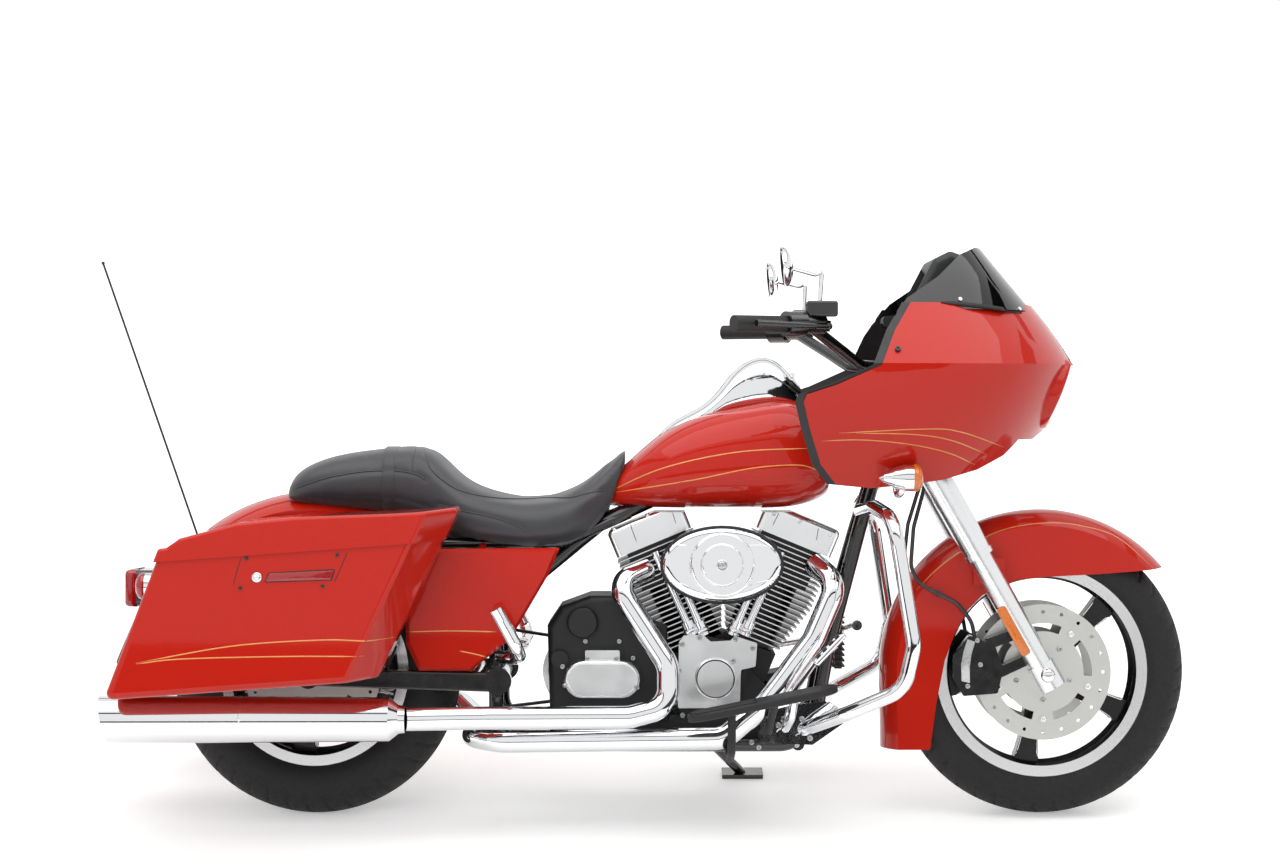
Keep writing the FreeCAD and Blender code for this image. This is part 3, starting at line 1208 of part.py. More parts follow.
def side_keep(shift):
    """Side view of what the fairing keeps: forward of its rear edge and above its lower edge."""
    rear = [(x - shift, z) for x, z in REAR_EDGE]
    return rear + [(505 - shift, 1150), (1000, 1150), (1000, 866)] + [(x, z) for x, z in reversed(LOWER_EDGE)]


def plan_filled(nose, rear, half, height):
    """Closed plan outline of the whole inside of the fairing at a height."""
    outer = plan_curve(nose, rear, half, height)
    return Part.Wire([spline_edge(outer), Part.LineSegment(outer[-1], outer[0]).toShape()])


def build_fairing():
    """Painted outer shell, black inner shell, headlamps, windshield and instrument pod."""
    wall = size("fairing_wall")
    lower, upper = fairing_levels()
    rear = 240

    def skin(inset, thick):
        parts = []
        for levels in (lower, upper):
            parts.append(loft([plan_band(n - inset * 1.1, rear, h - inset, z, thick) for n, h, z in levels]))
        return parts[0].fuse(parts[1])

    tunnel = box(100, 1000, -176, 176, 600, 836)
    shell = skin(0, wall).common(prism(side_keep(0), -600, 600)).cut(tunnel)
    lamp_z, spacing, radius = 936, size("lamp_half_spacing"), size("lamp_radius")
    beams = [rod(Vector(740, s * spacing, lamp_z), Vector(960, s * spacing, lamp_z), radius) for s in (-1, 1)]
    narrow = [rod(Vector(740, s * spacing, lamp_z), Vector(960, s * spacing, lamp_z), radius - GAP) for s in (-1, 1)]
    lenses = [largest(shell.common(beam)) for beam in narrow]
    shell = shell.cut(beams)
    piece("fairing_shell", largest(shell))
    piece("headlamp_lenses", Part.makeCompound(lenses))

    bowls = []
    for side in (-1, 1):
        back = Vector(742, side * spacing, lamp_z)
        can = rod(back, back + Vector(150, 0, 0), radius - 4)
        hollow = rod(back + Vector(12, 0, 0), back + Vector(160, 0, 0), radius - 9)
        bowls.append(can.cut(hollow))
    carrier = box(742, 752, -spacing - 40, spacing + 40, lamp_z - 34, lamp_z + 34)
    lamps = carrier.fuse(bowls)
    clear_of_shell = loft([plan_filled(n - 6, rear, h - 5, z) for n, h, z in lower])
    lamps = lamps.common(clear_of_shell)
    piece("headlamps", largest(lamps))

    liner = skin(wall + 1, 3).common(prism(side_keep(18), -600, 600))
    inside = loft([plan_filled(n - 9, rear, h - 7, z) for n, h, z in lower])
    inside = inside.fuse(loft([plan_filled(n - 9, rear, h - 7, z) for n, h, z in upper]))
    wall_line = ((690, 780), (652, 880), (612, 985), (566, 1042), (512, 1092), (640, 1106), (770, 1112))
    thick_line = [(x + 7, z - 1) for x, z in wall_line[:4]] + [(532, 1088), (640, 1100), (770, 1106)]
    dash = inside.common(prism(list(wall_line) + thick_line[::-1], -400, 400))
    hoods = []
    for side in (-1, 1):
        near, far = sorted((side * 196, side * 300))
        hood = prism(((494, 1000), (493, 1086), (474, 1094), (474, 1116), (506, 1117), (560, 1062), (620, 1000)),
                     near, far)
        hood = rounded(hood, 10, runs_across)
        hoods.append(hood.cut(prism(((440, 1092), (497, 1080), (508, 1010), (560, 1010), (530, 1092), (486, 1102)),
                                    near + 10, far - 10)))
    inner = dash.fuse([liner] + [inside.common(p) for p in hoods])
    mount = box(560, 742, -20 - GAP, 20 + GAP, 868, 928)
    sweep_room = prism(((380, 700), (640, 700), (640, 830), (600, 960), (520, 1040), (380, 1060)), -185, 185)
    inner = largest(inner.cut([tunnel, mount, sweep_room, lamps] + beams + bar_room()))
    piece("inner_fairing", inner)

    pane = size("windshield_wall")
    base, top = size("crease_height") + 118, size("crease_height") + 112 + size("windshield_height")
    nose = size("nose_forward")
    levels = ((nose - 90, 470, 262, base), (nose - 142, 520, 226, base + 62), (nose - 206, 560, 150, top))
    screen = loft([plan_band(n, r, h, z, pane) for n, r, h, z in levels])
    screen = screen.common(prism(((470, 1128), (560, 1190), (610, 1238), (660, 1262), (900, 1300), (900, 1080)),
                                 -400, 400))
    screen = screen.cut(skin(-1, wall + 8))
    piece("windshield", largest(screen))

    hood = prism(((520, 1092), (512, 1140), (560, 1232), (596, 1250), (624, 1240), (648, 1180), (660, 1092)),
                 -128, 128)
    hood = rounded(hood, 16, lambda e: e.BoundBox.ZMax > 1130)
    well = prism(((480, 1120), (480, 1160), (548, 1236), (590, 1120)), -112, 112)
    hood = hood.cut(well)
    dials = []
    turn = Vector(-0.86, 0, 0.5)
    for y, r in ((-62, 46), (62, 46)):
        face = Vector(578, y, 1166)
        dials.append(rod(face - turn * 24, face + turn * 16, r))
    hood = hood.fuse(dials).cut(prism(list(wall_line) + [(770, 900), (400, 900), (400, 1092)], -400, 400))
    piece("gauge_pod", largest(hood.cut(inner)))
    return [largest(shell), inner]


def build_lamps(frame, fairing):
    """Turn signals in one piece list, and the oil cooler between the downtubes."""
    front, rear = build_signals()
    front = largest(front.cut(fairing))
    chrome = [front, mirrored(front), rear, mirrored(rear)]
    piece("turn_signals", Part.makeCompound(chrome))
    plates = [box(340, 368, -66, 66, z, z + 4) for z in range(330, 456, 12)]
    core = box(346, 362, -60, 60, 326, 460)
    ears = [box(330, 362, -92, 92, 386, 398)]
    cooler = core.fuse(plates + ears).removeSplitter().cut(frame)
    piece("oil_cooler", largest(cooler))


def build_guards(frame):
    """Engine guard loops, footboards with their brackets, pillion pegs, and the foot controls."""
    r, wide, rail = size("guard_radius"), size("guard_half_width"), size("rail_half_spacing")
    loop = tube([(404, 50, 676), (424, 180, 690), (456, wide - 12, 668), (498, wide, 400), (478, wide - 8, 306),
                 (362, wide - 60, 250), (296, 190, 216), (262, rail, 196)], r, 70)
    guards = [largest(g.cut(frame)) for g in (loop, mirrored(loop))]
    piece("engine_guard", Part.makeCompound(guards))

    length, width = size("board_length"), size("board_width")
    half = width / 2
    deck = stadium((half - 8, 0), (length - half, 0), half, 0, 16)
    deck.rotate(Vector(0, 0, 0), Vector(1, 0, 0), 90)
    deck = rounded(deck, 4, lambda e: e.BoundBox.ZMin > -1)
    deck.rotate(Vector(0, 0, 0), Vector(0, 1, 0), -11.5)
    deck.translate(Vector(26, 286, 234))
    # The rear bracket arm passes under the lower header, which runs there on the right.
    arms = [tube([(110, rail + 6, 158), (110, 204, 144), (112, 266, 168), (112, 276, 256)], 9, 30),
            rod(Vector(192, rail + 6, 178), Vector(206, 270, 276), 9)]
    board = deck.fuse(arms).removeSplitter()
    boards = [largest(b.cut(frame)) for b in (board, mirrored(board))]
    piece("footboards", Part.makeCompound(boards))

    peg = tube([(-392, 148, 361), (-352, 182, 361), (-346, 226, 370), (-352, 254, 392), (-382, 262, 448),
                (-396, 268, 474)], 15, 24)
    pegs = [largest(p.cut(frame)) for p in (peg, mirrored(peg))]
    piece("pillion_pegs", Part.makeCompound(pegs))

    arm = tube([(226, -142, 190), (244, -200, 232), (252, -216, 300), (290, -232, 356), (336, -262, 398)], 9, 24)
    pad = rounded(Part.makeBox(92, 62, 12, Vector(-46, -31, -6)), 5)
    pad.rotate(Vector(0, 0, 0), Vector(0, 1, 0), -46)
    pad.translate(Vector(322, -268, 388))
    hub = rod(Vector(226, -rail - 4, 190), Vector(226, -166, 190), 14)
    plate = prism(((172, 184), (192, 172), (292, 168), (358, 214), (366, 240), (326, 262), (250, 256), (182, 238)),
                  -152, -rail - 8)
    bolt_spots = ((196, 186), (262, 184), (312, 206), (330, 244))
    bosses = [rod(Vector(x, -146, z), Vector(x, -160, z), 8) for x, z in bolt_spots]
    brake = arm.fuse([pad, hub, rounded(plate, 4, runs_across)] + bosses).cut([frame] + guards + boards)
    shift_rod = tube([(20, 214, 318), (120, 228, 336), (330, 228, 372), (420, 262, 402)], 7, 30)
    heel = rod(Vector(24, 200, 318), Vector(24, 262, 318), 12)
    toe = rod(Vector(416, 226, 400), Vector(416, 300, 400), 12)
    shaft = rod(Vector(322, 96, 348), Vector(322, 236, 366), 10)
    shift = shift_rod.fuse([heel, toe, shaft]).cut(frame)
    piece("foot_controls", Part.makeCompound([largest(brake), largest(shift)]))


def build_rear_end(frame):
    """Swingarm with the rear axle and caliper, shock absorbers, and the drive belt."""
    reach = 172
    arms = []
    for side in (-1, 1):
        start, end = PIVOT + Vector(0, side * reach, 0), REAR_AXLE + Vector(0, side * reach, 0)
        beam = prism(((start.x + 4, start.z - 24), (end.x - 30, end.z - 20), (end.x - 30, end.z + 20),
                      (start.x + 4, start.z + 18)), side * reach - 12, side * reach + 12)
        arms.append(rounded(beam, 5))
        arms.append(rod(start - Vector(0, 13, 0), start + Vector(0, 13, 0), 30))
        arms.append(rod(end - Vector(0, 18, 0), end + Vector(0, 18, 0), 26))
    brace_x = PIVOT.x - 52
    brace = rod(Vector(brace_x, -reach, 314), Vector(brace_x, reach, 314), 13)
    axle = rod(REAR_AXLE - Vector(0, reach + 22, 0), REAR_AXLE + Vector(0, reach + 22, 0), size("axle_radius"))
    pivot_pin = rod(PIVOT - Vector(0, reach + 16, 0), PIVOT + Vector(0, reach + 16, 0), 12)
    disc_y = size("rear_disc_offset")
    body = rounded(prism(((96, 18), (166, 8), (190, 60), (166, 104), (110, 118), (84, 84)), -disc_y - 40,
                         -disc_y - 5), 5, runs_across)
    pad = prism(((100, 30), (150, 20), (160, 56), (136, 84), (104, 90)), -disc_y + 5, -disc_y + 14)
    link = prism(((158, 22), (172, 22), (178, 64), (160, 78)), -disc_y - 6, -disc_y + 14)
    caliper = body.fuse([pad, link, box(120, 150, -disc_y - 60, -disc_y - 38, 4, 40)])
    caliper.translate(REAR_AXLE)
    swing = arms[0].fuse(arms[1:] + [brace, axle, pivot_pin, caliper])
    piece("swingarm", largest(swing))

    shocks = []
    for side in (-1, 1):
        low, high = Vector(-706, side * reach, 350), Vector(-642, side * reach, 595)
        along = (high - low).normalize()
        body = rod(low + along * 4, low + along * 120, 20)
        sleeve = rod(low + along * 110, high, 27)
        eye = rod(high + Vector(0, -side * 60, 0), high + Vector(0, side * 14, 0), 12)
        shocks.append(body.fuse([sleeve, eye]).cut([frame, largest(swing)]))
    piece("shocks", Part.makeCompound([largest(s) for s in shocks]))

    shaft = Vector(-232, 0, PIVOT.z)
    r1, r2 = size("front_pulley_radius") + 1, size("pulley_radius") + 1
    thick = size("belt_thickness")
    belt = doc.addObject("PartDesign::Body", "belt_band")
    band = new_sketch(belt, "belt_loops")
    reach_x, lift = shaft.x - REAR_AXLE.x, shaft.z - REAR_AXLE.z
    for grow in (0, thick):
        a, b = r1 + grow, r2 + grow
        tilt = math.asin((b - a) / reach_x)
        s, c = math.sin(tilt), math.cos(tilt)
        front_top, front_low = (Vector(reach_x + a * s, lift + a * c * way, 0) for way in (1, -1))
        rear_top, rear_low = (Vector(b * s, b * c * way, 0) for way in (1, -1))
        band.addGeometry(Part.LineSegment(rear_top, front_top), False)
        band.addGeometry(Part.Arc(front_top, Vector(reach_x + a, lift, 0), front_low), False)
        band.addGeometry(Part.LineSegment(front_low, rear_low), False)
        band.addGeometry(Part.Arc(rear_low, Vector(-b, 0, 0), rear_top), False)
    pad = belt.newObject("PartDesign::Pad", "belt_pad")
    pad.Profile = band
    pad.Midplane = True
    pad.setExpression("Length", "Sizes.belt_width")
    belt.Placement = Placement(Vector(REAR_AXLE.x, size("belt_offset"), REAR_AXLE.z), Rotation())
    keep(belt, "drive_belt")


def build_stand():
    """Side stand leg in its down position, with a foot that lies flat once the machine leans on it."""
    r = size("stand_tube_radius")
    foot = stand_foot()
    hinge = STAND_HINGE
    pad = rounded(Part.makeBox(96, 62, 10, Vector(-46, -34, 0)), 4, lambda e: e.BoundBox.ZLength > 5)
    pad.rotate(Vector(0, 0, 0), Vector(1, 0, 0), size("lean_angle"))
    pad.translate(foot)
    down = (foot - hinge).normalize()
    leg = tube([hinge + down * 8, hinge + down * 60, (foot.x, foot.y - 6, foot.z + 7)], r, 50)
    axis = stand_axis()
    knuckle = rod(hinge - axis * 13, hinge + axis * 13, 17)
    bore = rod(hinge - axis * 30, hinge + axis * 30, 7 + size("bearing_gap"))
    stand = leg.fuse([pad, knuckle]).cut(bore)
    piece("side_stand", largest(stand))


def build_all():
    """Makes every piece, cutting neighbours on the same body clear of one another."""
    build_wheels()
    build_fork()
    build_front_fender()
    build_bars()
    build_calipers()
    frame = build_frame()
    case, cylinders, rooms = build_cylinders()
    build_engine_dress(case, cylinders, rooms)
    build_exhaust(cylinders)
    build_tank(frame)
    build_rear_fender()
    panel = build_side_covers(frame)
    piece("side_covers", both_sides(panel))
    piece("seat", build_seat(panel))
    build_bags()
    fairing = build_fairing()
    build_lamps(frame, fairing)
    build_guards(frame)
    build_rear_end(frame)
    build_stand()


def check_and_export():
    """Places every piece, checks it, and writes one file for each."""
    doc.recompute()
    lean = Rotation(Vector(1, 0, 0), -size("lean_angle"))
    tilt = math.radians(size("lean_angle"))
    lift = max(size("front_tyre_crown"), size("rear_tyre_crown")) * (1 - math.cos(tilt))
    for item in PIECES:
        item.Placement = Placement(Vector(0, 0, lift), lean).multiply(item.Placement)
    doc.recompute()
    whole = FreeCAD.BoundBox()
    for item in PIECES:
        whole.add(item.Shape.optimalBoundingBox())
    centre = Vector(-whole.Center.x, -whole.Center.y, 0)
    for item in PIECES:
        item.Placement = Placement(centre, Rotation()).multiply(item.Placement)
    doc.recompute()
    for item in doc.Objects:
        if {"Invalid", "Error"} & set(item.State):
            raise RuntimeError(f"{item.Label} failed: {item.State}")
    os.makedirs("parts", exist_ok=True)
    for item in PIECES:
        shape = item.Shape
        if shape.isNull() or not shape.isValid() or not shape.Solids:
            raise RuntimeError(f"{item.Label} has no valid solid")
        shape.exportStep(f"parts/{item.Label}.step")
    return Placement(centre + Vector(0, 0, lift), lean)


build_all()
check_and_export()
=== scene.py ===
# %% [markdown]
# # A touring cruiser parked on its side stand
# The metal skeleton of this model was drawn in CAD and packed as a fixed frame. This lesson dresses it: it
# paints each part, makes the soft and fine pieces that CAD leaves out, and sets up a plain photo studio.
# Everything is in metres, in the frame's own axes: X forward, Y to the rider's left, Z up.

# %% Load the frame
import bmesh
import bpy
import json
import math
import numpy as np
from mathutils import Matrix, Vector
from mathutils.bvhtree import BVHTree

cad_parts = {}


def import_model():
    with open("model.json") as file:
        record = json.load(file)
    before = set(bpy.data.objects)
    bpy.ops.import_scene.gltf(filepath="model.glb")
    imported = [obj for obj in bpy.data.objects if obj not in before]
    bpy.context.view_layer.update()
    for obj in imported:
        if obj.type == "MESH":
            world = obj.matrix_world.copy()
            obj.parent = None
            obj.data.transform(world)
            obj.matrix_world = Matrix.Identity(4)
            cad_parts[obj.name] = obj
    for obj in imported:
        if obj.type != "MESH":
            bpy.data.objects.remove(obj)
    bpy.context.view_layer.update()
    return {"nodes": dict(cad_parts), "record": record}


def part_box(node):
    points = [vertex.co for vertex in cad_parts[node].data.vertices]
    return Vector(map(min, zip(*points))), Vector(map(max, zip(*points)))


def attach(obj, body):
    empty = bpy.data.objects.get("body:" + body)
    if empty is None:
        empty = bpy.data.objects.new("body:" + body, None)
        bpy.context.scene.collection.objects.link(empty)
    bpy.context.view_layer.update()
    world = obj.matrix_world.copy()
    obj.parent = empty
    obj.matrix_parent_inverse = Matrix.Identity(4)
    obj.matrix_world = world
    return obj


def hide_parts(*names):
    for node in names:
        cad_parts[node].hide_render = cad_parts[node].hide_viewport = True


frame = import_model()
nodes = frame["nodes"]
scene = bpy.context.scene

# %% [markdown]
# ## One drawing, leaned over
# The machine was drawn upright in millimetres and then leaned nine degrees onto its stand. It is much
# easier to think of a bolt on an upright engine, so every new piece is worked out upright and then leaned
# by one function. The front tyre tells where the drawing ended up, because its centre is the front axle.

# %% Upright millimetres to leaning metres
LEAN = math.radians(9)
FRONT_AXLE = np.array([806.5, 0.0, 320.0])
REAR_AXLE = np.array([-806.5, 0.0, 320.0])
FORK_ANGLE = math.radians(29.25)


def leaned(points):
    """Turned about the long axis, in metres: y' = y cos a + z sin a and z' = z cos a - y sin a."""
    p = np.asarray(points, float) / 1000
    c, s = math.cos(LEAN), math.sin(LEAN)
    return np.stack([p[..., 0], c * p[..., 1] + s * p[..., 2], c * p[..., 2] - s * p[..., 1]], -1)


tyre_low, tyre_high = (np.array(corner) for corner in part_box("front_tyre"))
SHIFT = (tyre_low + tyre_high) / 2 - leaned(FRONT_AXLE)


def world(points):
    """Upright millimetres to the frame's metres."""
    return leaned(points) + SHIFT


def upright(points):
    """The frame's metres back to upright millimetres: the inverse turn of leaned()."""
    p = (np.asarray(points, float) - SHIFT) * 1000
    c, s = math.cos(LEAN), math.sin(LEAN)
    return np.stack([p[..., 0], c * p[..., 1] - s * p[..., 2], c * p[..., 2] + s * p[..., 1]], -1)


def unit(vectors):
    """Each vector divided by its length."""
    v = np.asarray(vectors, float)
    return v / np.linalg.norm(v, axis=-1, keepdims=True)


print("shift of the drawing, metres:", SHIFT.round(4))

# %% [markdown]
# ## Surfaces from grids
# Most pieces here are a grid of points: rows one way, columns the other. Once the points are one numpy
# array, the faces are just neighbouring index fours, so a whole tyre is a few lines and no loop runs over
# its vertices.

# %% Grid, object and node helpers
SIDES = ((-1, "right"), (1, "left"))


def points_of(mesh):
    """All vertex positions of a mesh as one array, metres."""
    co = np.empty(len(mesh.vertices) * 3)
    mesh.vertices.foreach_get("co", co)
    return co.reshape(-1, 3)


def grid_faces(rows, columns, wrap_rows=False, wrap_columns=False):
    """Quads between neighbouring points of a rows by columns grid, joined round where asked."""
    r = np.arange(rows if wrap_rows else rows - 1)
    c = np.arange(columns if wrap_columns else columns - 1)
    r, c = np.meshgrid(r, c, indexing="ij")
    r2, c2 = (r + 1) % rows, (c + 1) % columns
    quads = np.stack([r * columns + c, r2 * columns + c, r2 * columns + c2, r * columns + c2], -1)
    return quads.reshape(-1, 4)


def make(name, parts, material, body="chassis", smooth=True):
    """An object from upright (points, faces) parts, welded at seams and poles, with outward faces."""
    points, faces = joined(parts)
    mesh = bpy.data.meshes.new(name)
    mesh.from_pydata(world(points).tolist(), [], faces)
    shell = bmesh.new()
    shell.from_mesh(mesh)
    bmesh.ops.remove_doubles(shell, verts=shell.verts, dist=1e-6)
    bmesh.ops.dissolve_degenerate(shell, edges=shell.edges, dist=1e-7)
    bmesh.ops.recalc_face_normals(shell, faces=shell.faces)
    shell.to_mesh(mesh)
    shell.free()
    mesh.polygons.foreach_set("use_smooth", np.full(len(mesh.polygons), smooth))
    mesh.materials.append(material)
    mesh.update()
    made = bpy.data.objects.new(name, mesh)
    scene.collection.objects.link(made)
    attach(made, body)
    return made


def joined(parts):
    """Several (points, faces) pairs as one, with face numbers moved up past the points before them."""
    points, faces, first = [], [], 0
    for p, f in parts:
        p = np.asarray(p, float).reshape(-1, 3)
        points.append(p)
        faces += [tuple(int(i) + first for i in face) for face in f]
        first += len(p)
    return np.concatenate(points), faces


def frame_along(direction):
    """Two unit vectors square to a direction and to each other."""
    d = unit(direction)
    helper = np.where(np.abs(d[..., 2:3]) < 0.9, [0.0, 0.0, 1.0], [1.0, 0.0, 0.0])
    a = unit(np.cross(d, helper))
    return a, np.cross(d, a)


def turned(profile, centre, axis=(0, 1, 0), steps=64):
    """A (distance, radius) profile carried round an axis: p = centre + d axis + r (cos t a + sin t b)."""
    profile = np.asarray(profile, float)
    axis = unit(axis)
    a, b = frame_along(axis)
    t = np.linspace(0, 2 * np.pi, steps, endpoint=False)[:, None, None]
    r, d = profile[None, :, 1:2], profile[None, :, 0:1]
    points = np.asarray(centre, float) + d * axis + r * (np.cos(t) * a + np.sin(t) * b)
    return points.reshape(-1, 3), grid_faces(steps, len(profile), wrap_rows=True)


def smooth_path(points, count):
    """A Catmull-Rom curve: a cubic between each two points, with slopes taken from their neighbours."""
    p = np.asarray(points, float)
    padded_ends = np.concatenate([2 * p[:1] - p[1:2], p, 2 * p[-1:] - p[-2:-1]])
    s = np.linspace(0, len(p) - 1 - 1e-9, count)
    i = s.astype(int)
    t = (s - i)[:, None]
    a, b, c, d = (padded_ends[i + k] for k in range(4))
    return 0.5 * (2 * b + (c - a) * t + (2 * a - 5 * b + 4 * c - d) * t**2 + (3 * b - a - 3 * c + d) * t**3)


def tube(path, radius, sides=12):
    """A round skin on a path: p = path + r (cos t a + sin t b), with both ends drawn in to a point."""
    path = np.asarray(path, float)
    along = np.gradient(path, axis=0)
    a, b = frame_along(along)
    t = np.linspace(0, 2 * np.pi, sides, endpoint=False)
    r = np.broadcast_to(np.asarray(radius, float), (len(path),))[:, None, None]
    ring = np.cos(t)[None, :, None] * a[:, None] + np.sin(t)[None, :, None] * b[:, None]
    skin = path[:, None] + r * ring
    ends = [np.repeat(path[k][None], sides, 0)[None] for k in (0, -1)]
    skin = np.concatenate([ends[0], skin, ends[1]])
    return skin.reshape(-1, 3), grid_faces(len(skin), sides, wrap_columns=True)


# %% [markdown]
# ## Finding a surface
# A bolt or a pinstripe has to lie on the metal under it. A ray is sent from the side, and the point where
# it meets the CAD node is where the detail sits. The tree below makes those rays fast.

# %% Rays onto the CAD nodes
OUTSIDE = 700.0
trees = {}
surfaces = dict(nodes)


def tree_of(names):
    """A search tree over one or more nodes or made pieces, in the frame's metres."""
    if names not in trees:
        points, faces, first = [], [], 0
        for name in names.split():
            mesh = surfaces[name].data
            points.append(points_of(mesh))
            mesh.calc_loop_triangles()
            corners = np.empty(len(mesh.loop_triangles) * 3, dtype=np.int32)
            mesh.loop_triangles.foreach_get("vertices", corners)
            faces.append(corners.reshape(-1, 3) + first)
            first += len(mesh.vertices)
        trees[names] = BVHTree.FromPolygons(np.concatenate(points).tolist(), np.concatenate(faces).tolist())
    return trees[names]


def land(names, starts, direction):
    """Upright points and unit normals where rays from upright starts meet the nodes; misses are dropped."""
    tree = tree_of(names)
    starts = np.asarray(starts, float)
    aims = leaned(np.broadcast_to(np.asarray(direction, float), starts.shape) * 1000)
    met = [tree.ray_cast(Vector(start), Vector(aim)) for start, aim in zip(world(starts), aims)]
    hits = np.array([m[0] for m in met if m[0] is not None]).reshape(-1, 3)
    normals = np.array([m[1] for m in met if m[0] is not None]).reshape(-1, 3)
    return upright(hits), upright(hits + normals * 0.001) - upright(hits)


def land_one(names, start, direction):
    """The point and unit normal where one ray meets the nodes."""
    points, normals = land(names, [start], direction)
    return points[0], unit(normals[0])


def from_side(names, view, side):
    """Points and normals where rays from one side meet the nodes, at these (x, z) places of the side view."""
    view = np.reshape(view, (-1, 2))
    starts = np.stack([view[:, 0], np.full(len(view), side * OUTSIDE), view[:, 1]], -1)
    return land(names, starts, (0, -side, 0))


# %% [markdown]
# ## Building a finish
# A finish starts from what the real surface is made of and how it was made. Colours are written as the hex
# values a screen shows, and one function turns them to the linear light that the renderer adds up.

# %% Colour and node helpers
def colour(code):
    """sRGB hex to linear: c/12.92 below 0.04045, else ((c + 0.055)/1.055)^2.4."""
    values = [int(code[i:i + 2], 16) / 255 for i in (1, 3, 5)]
    linear = [c / 12.92 if c <= 0.04045 else ((c + 0.055) / 1.055) ** 2.4 for c in values]
    return (*linear, 1.0)


def add(owner, kind, output, inputs=None, **settings):
    """Adds a node to a material or world, sets or links its inputs, and gives one of its outputs."""
    made = owner.node_tree.nodes.new(f"ShaderNode{kind}")
    for key, value in settings.items():
        setattr(made, key, value)
    for key, value in (inputs or {}).items():
        if isinstance(value, bpy.types.NodeSocket):
            owner.node_tree.links.new(value, made.inputs[key])
        else:
            made.inputs[key].default_value = value
    return made.outputs[output]


def finish(name, **shader):
    """A material with one Principled shader; names like Coat_Weight set its sockets."""
    made = bpy.data.materials.new(name)
    made.use_nodes = True
    for key, value in shader.items():
        made.node_tree.nodes["Principled BSDF"].inputs[key.replace("_", " ")].default_value = value
    add(made, "TexCoord", "Object")
    return made


def where(material):
    """The place on the object, in metres, which every pattern of a finish reads."""
    return material.node_tree.nodes["Texture Coordinate"].outputs["Object"]


def feed(material, socket, value):
    """Links an output to a socket of the Principled shader."""
    material.node_tree.links.new(value, material.node_tree.nodes["Principled BSDF"].inputs[socket])


def pattern(material, kind, output, size, inputs=None, **settings):
    """A texture whose features have a size in millimetres: its scale is how many of them fit in a metre."""
    placed = {"Vector": where(material), "Scale": 1000 / size, **(inputs or {})}
    return add(material, kind, output, placed, **settings)


def varied(material, socket, size, low, high, detail=3.0):
    """Feeds a socket a noise that wanders between two values, and gives the noise."""
    noise = pattern(material, "TexNoise", "Fac", size, {"Detail": detail})
    span = {"Value": noise, "From Min": 0.3, "From Max": 0.7, "To Min": low, "To Max": high}
    feed(material, socket, add(material, "MapRange", "Result", span))
    return noise


def grained(material, height, depth_mm, strength=1.0, socket="Normal"):
    """Bumps a socket's normal by a height, whose full range is a depth in millimetres."""
    relief = {"Height": height, "Strength": strength, "Distance": depth_mm / 1000}
    feed(material, socket, add(material, "Bump", "Normal", relief))


def two_tone(material, factor, first, second):
    """Mixes two hex colours by a factor into the base colour."""
    # A Mix node has sockets for each kind of value: colours go in at 6 and 7 and come out at 2.
    mixed = add(material, "Mix", 2, {0: factor, 6: colour(first), 7: colour(second)}, data_type="RGBA")
    feed(material, "Base Color", mixed)


# %% [markdown]
# ## Red lacquer
# The bodywork is steel and moulded panels under an orange-red base coat and a thick clear coat. The clear
# coat is what gives the sharp highlights, so the base stays fairly soft and the coat does the shining.
# Sprayed lacquer dries with a faint orange-peel ripple about 6 mm across.

# %% Red lacquer
red_lacquer = finish("sprayed_red_lacquer", Metallic=0.0, Roughness=0.42, Coat_Weight=1.0,
                     Coat_Roughness=0.03, Coat_IOR=1.33, Specular_IOR_Level=0.1)
flakes = pattern(red_lacquer, "TexVoronoi", "Distance", 1.5)
two_tone(red_lacquer, flakes, "#c4200d", "#b41b0b")
peel = pattern(red_lacquer, "TexNoise", "Fac", 6.0, {"Detail": 1.0})
grained(red_lacquer, peel, 0.02, 0.5, "Coat Normal")

# The pinstripes are brushed gold enamel under the same clear coat.
stripe_gold = finish("gold_pinstripe_enamel", Metallic=0.2, Roughness=0.3, Coat_Weight=1.0,
                     Coat_Roughness=0.05)
streaks = pattern(stripe_gold, "TexNoise", "Fac", 14.0, {"Detail": 2.0})
two_tone(stripe_gold, streaks, "#e89a3c", "#d07c26")
print("red lacquer and gold enamel ready")

# %% [markdown]
# ## Chrome and bright metals
# Chrome plate is a mirror, so what it reflects matters more than its own colour. Polished aluminium, as on
# the fork sliders, is greyer and keeps fine polishing lines that blur its reflections. Metals keep the
# default IOR.

# %% Chrome, polished aluminium, brushed steel, zinc
chrome_plate = finish("polished_chrome_plate", Metallic=1.0, Base_Color=colour("#e6e7e9"))
varied(chrome_plate, "Roughness", 40.0, 0.03, 0.08)

bright_alloy = finish("polished_cast_aluminium", Metallic=1.0, Base_Color=colour("#ecedee"))
varied(bright_alloy, "Roughness", 60.0, 0.20, 0.27)
swirls = pattern(bright_alloy, "TexNoise", "Fac", 0.8, {"Detail": 1.0})
grained(bright_alloy, swirls, 0.004, 0.3)

zinc_steel = finish("zinc_plated_steel", Metallic=1.0, Base_Color=colour("#b9babb"))
varied(zinc_steel, "Roughness", 5.0, 0.22, 0.38)


def ring_lines(material, centre, spacing_mm):
    """A noise that only changes with the distance from a wheel's axle, as turning or wear leaves it."""
    axle = tuple(world(centre))
    from_axle = add(material, "VectorMath", "Vector", {0: where(material), 1: axle}, operation="SUBTRACT")
    distance = add(material, "VectorMath", "Value", {0: from_axle}, operation="LENGTH")
    rings = {"W": distance, "Scale": 1000 / spacing_mm, "Detail": 2.0}
    return add(material, "TexNoise", "Fac", rings, noise_dimensions="1D"), distance


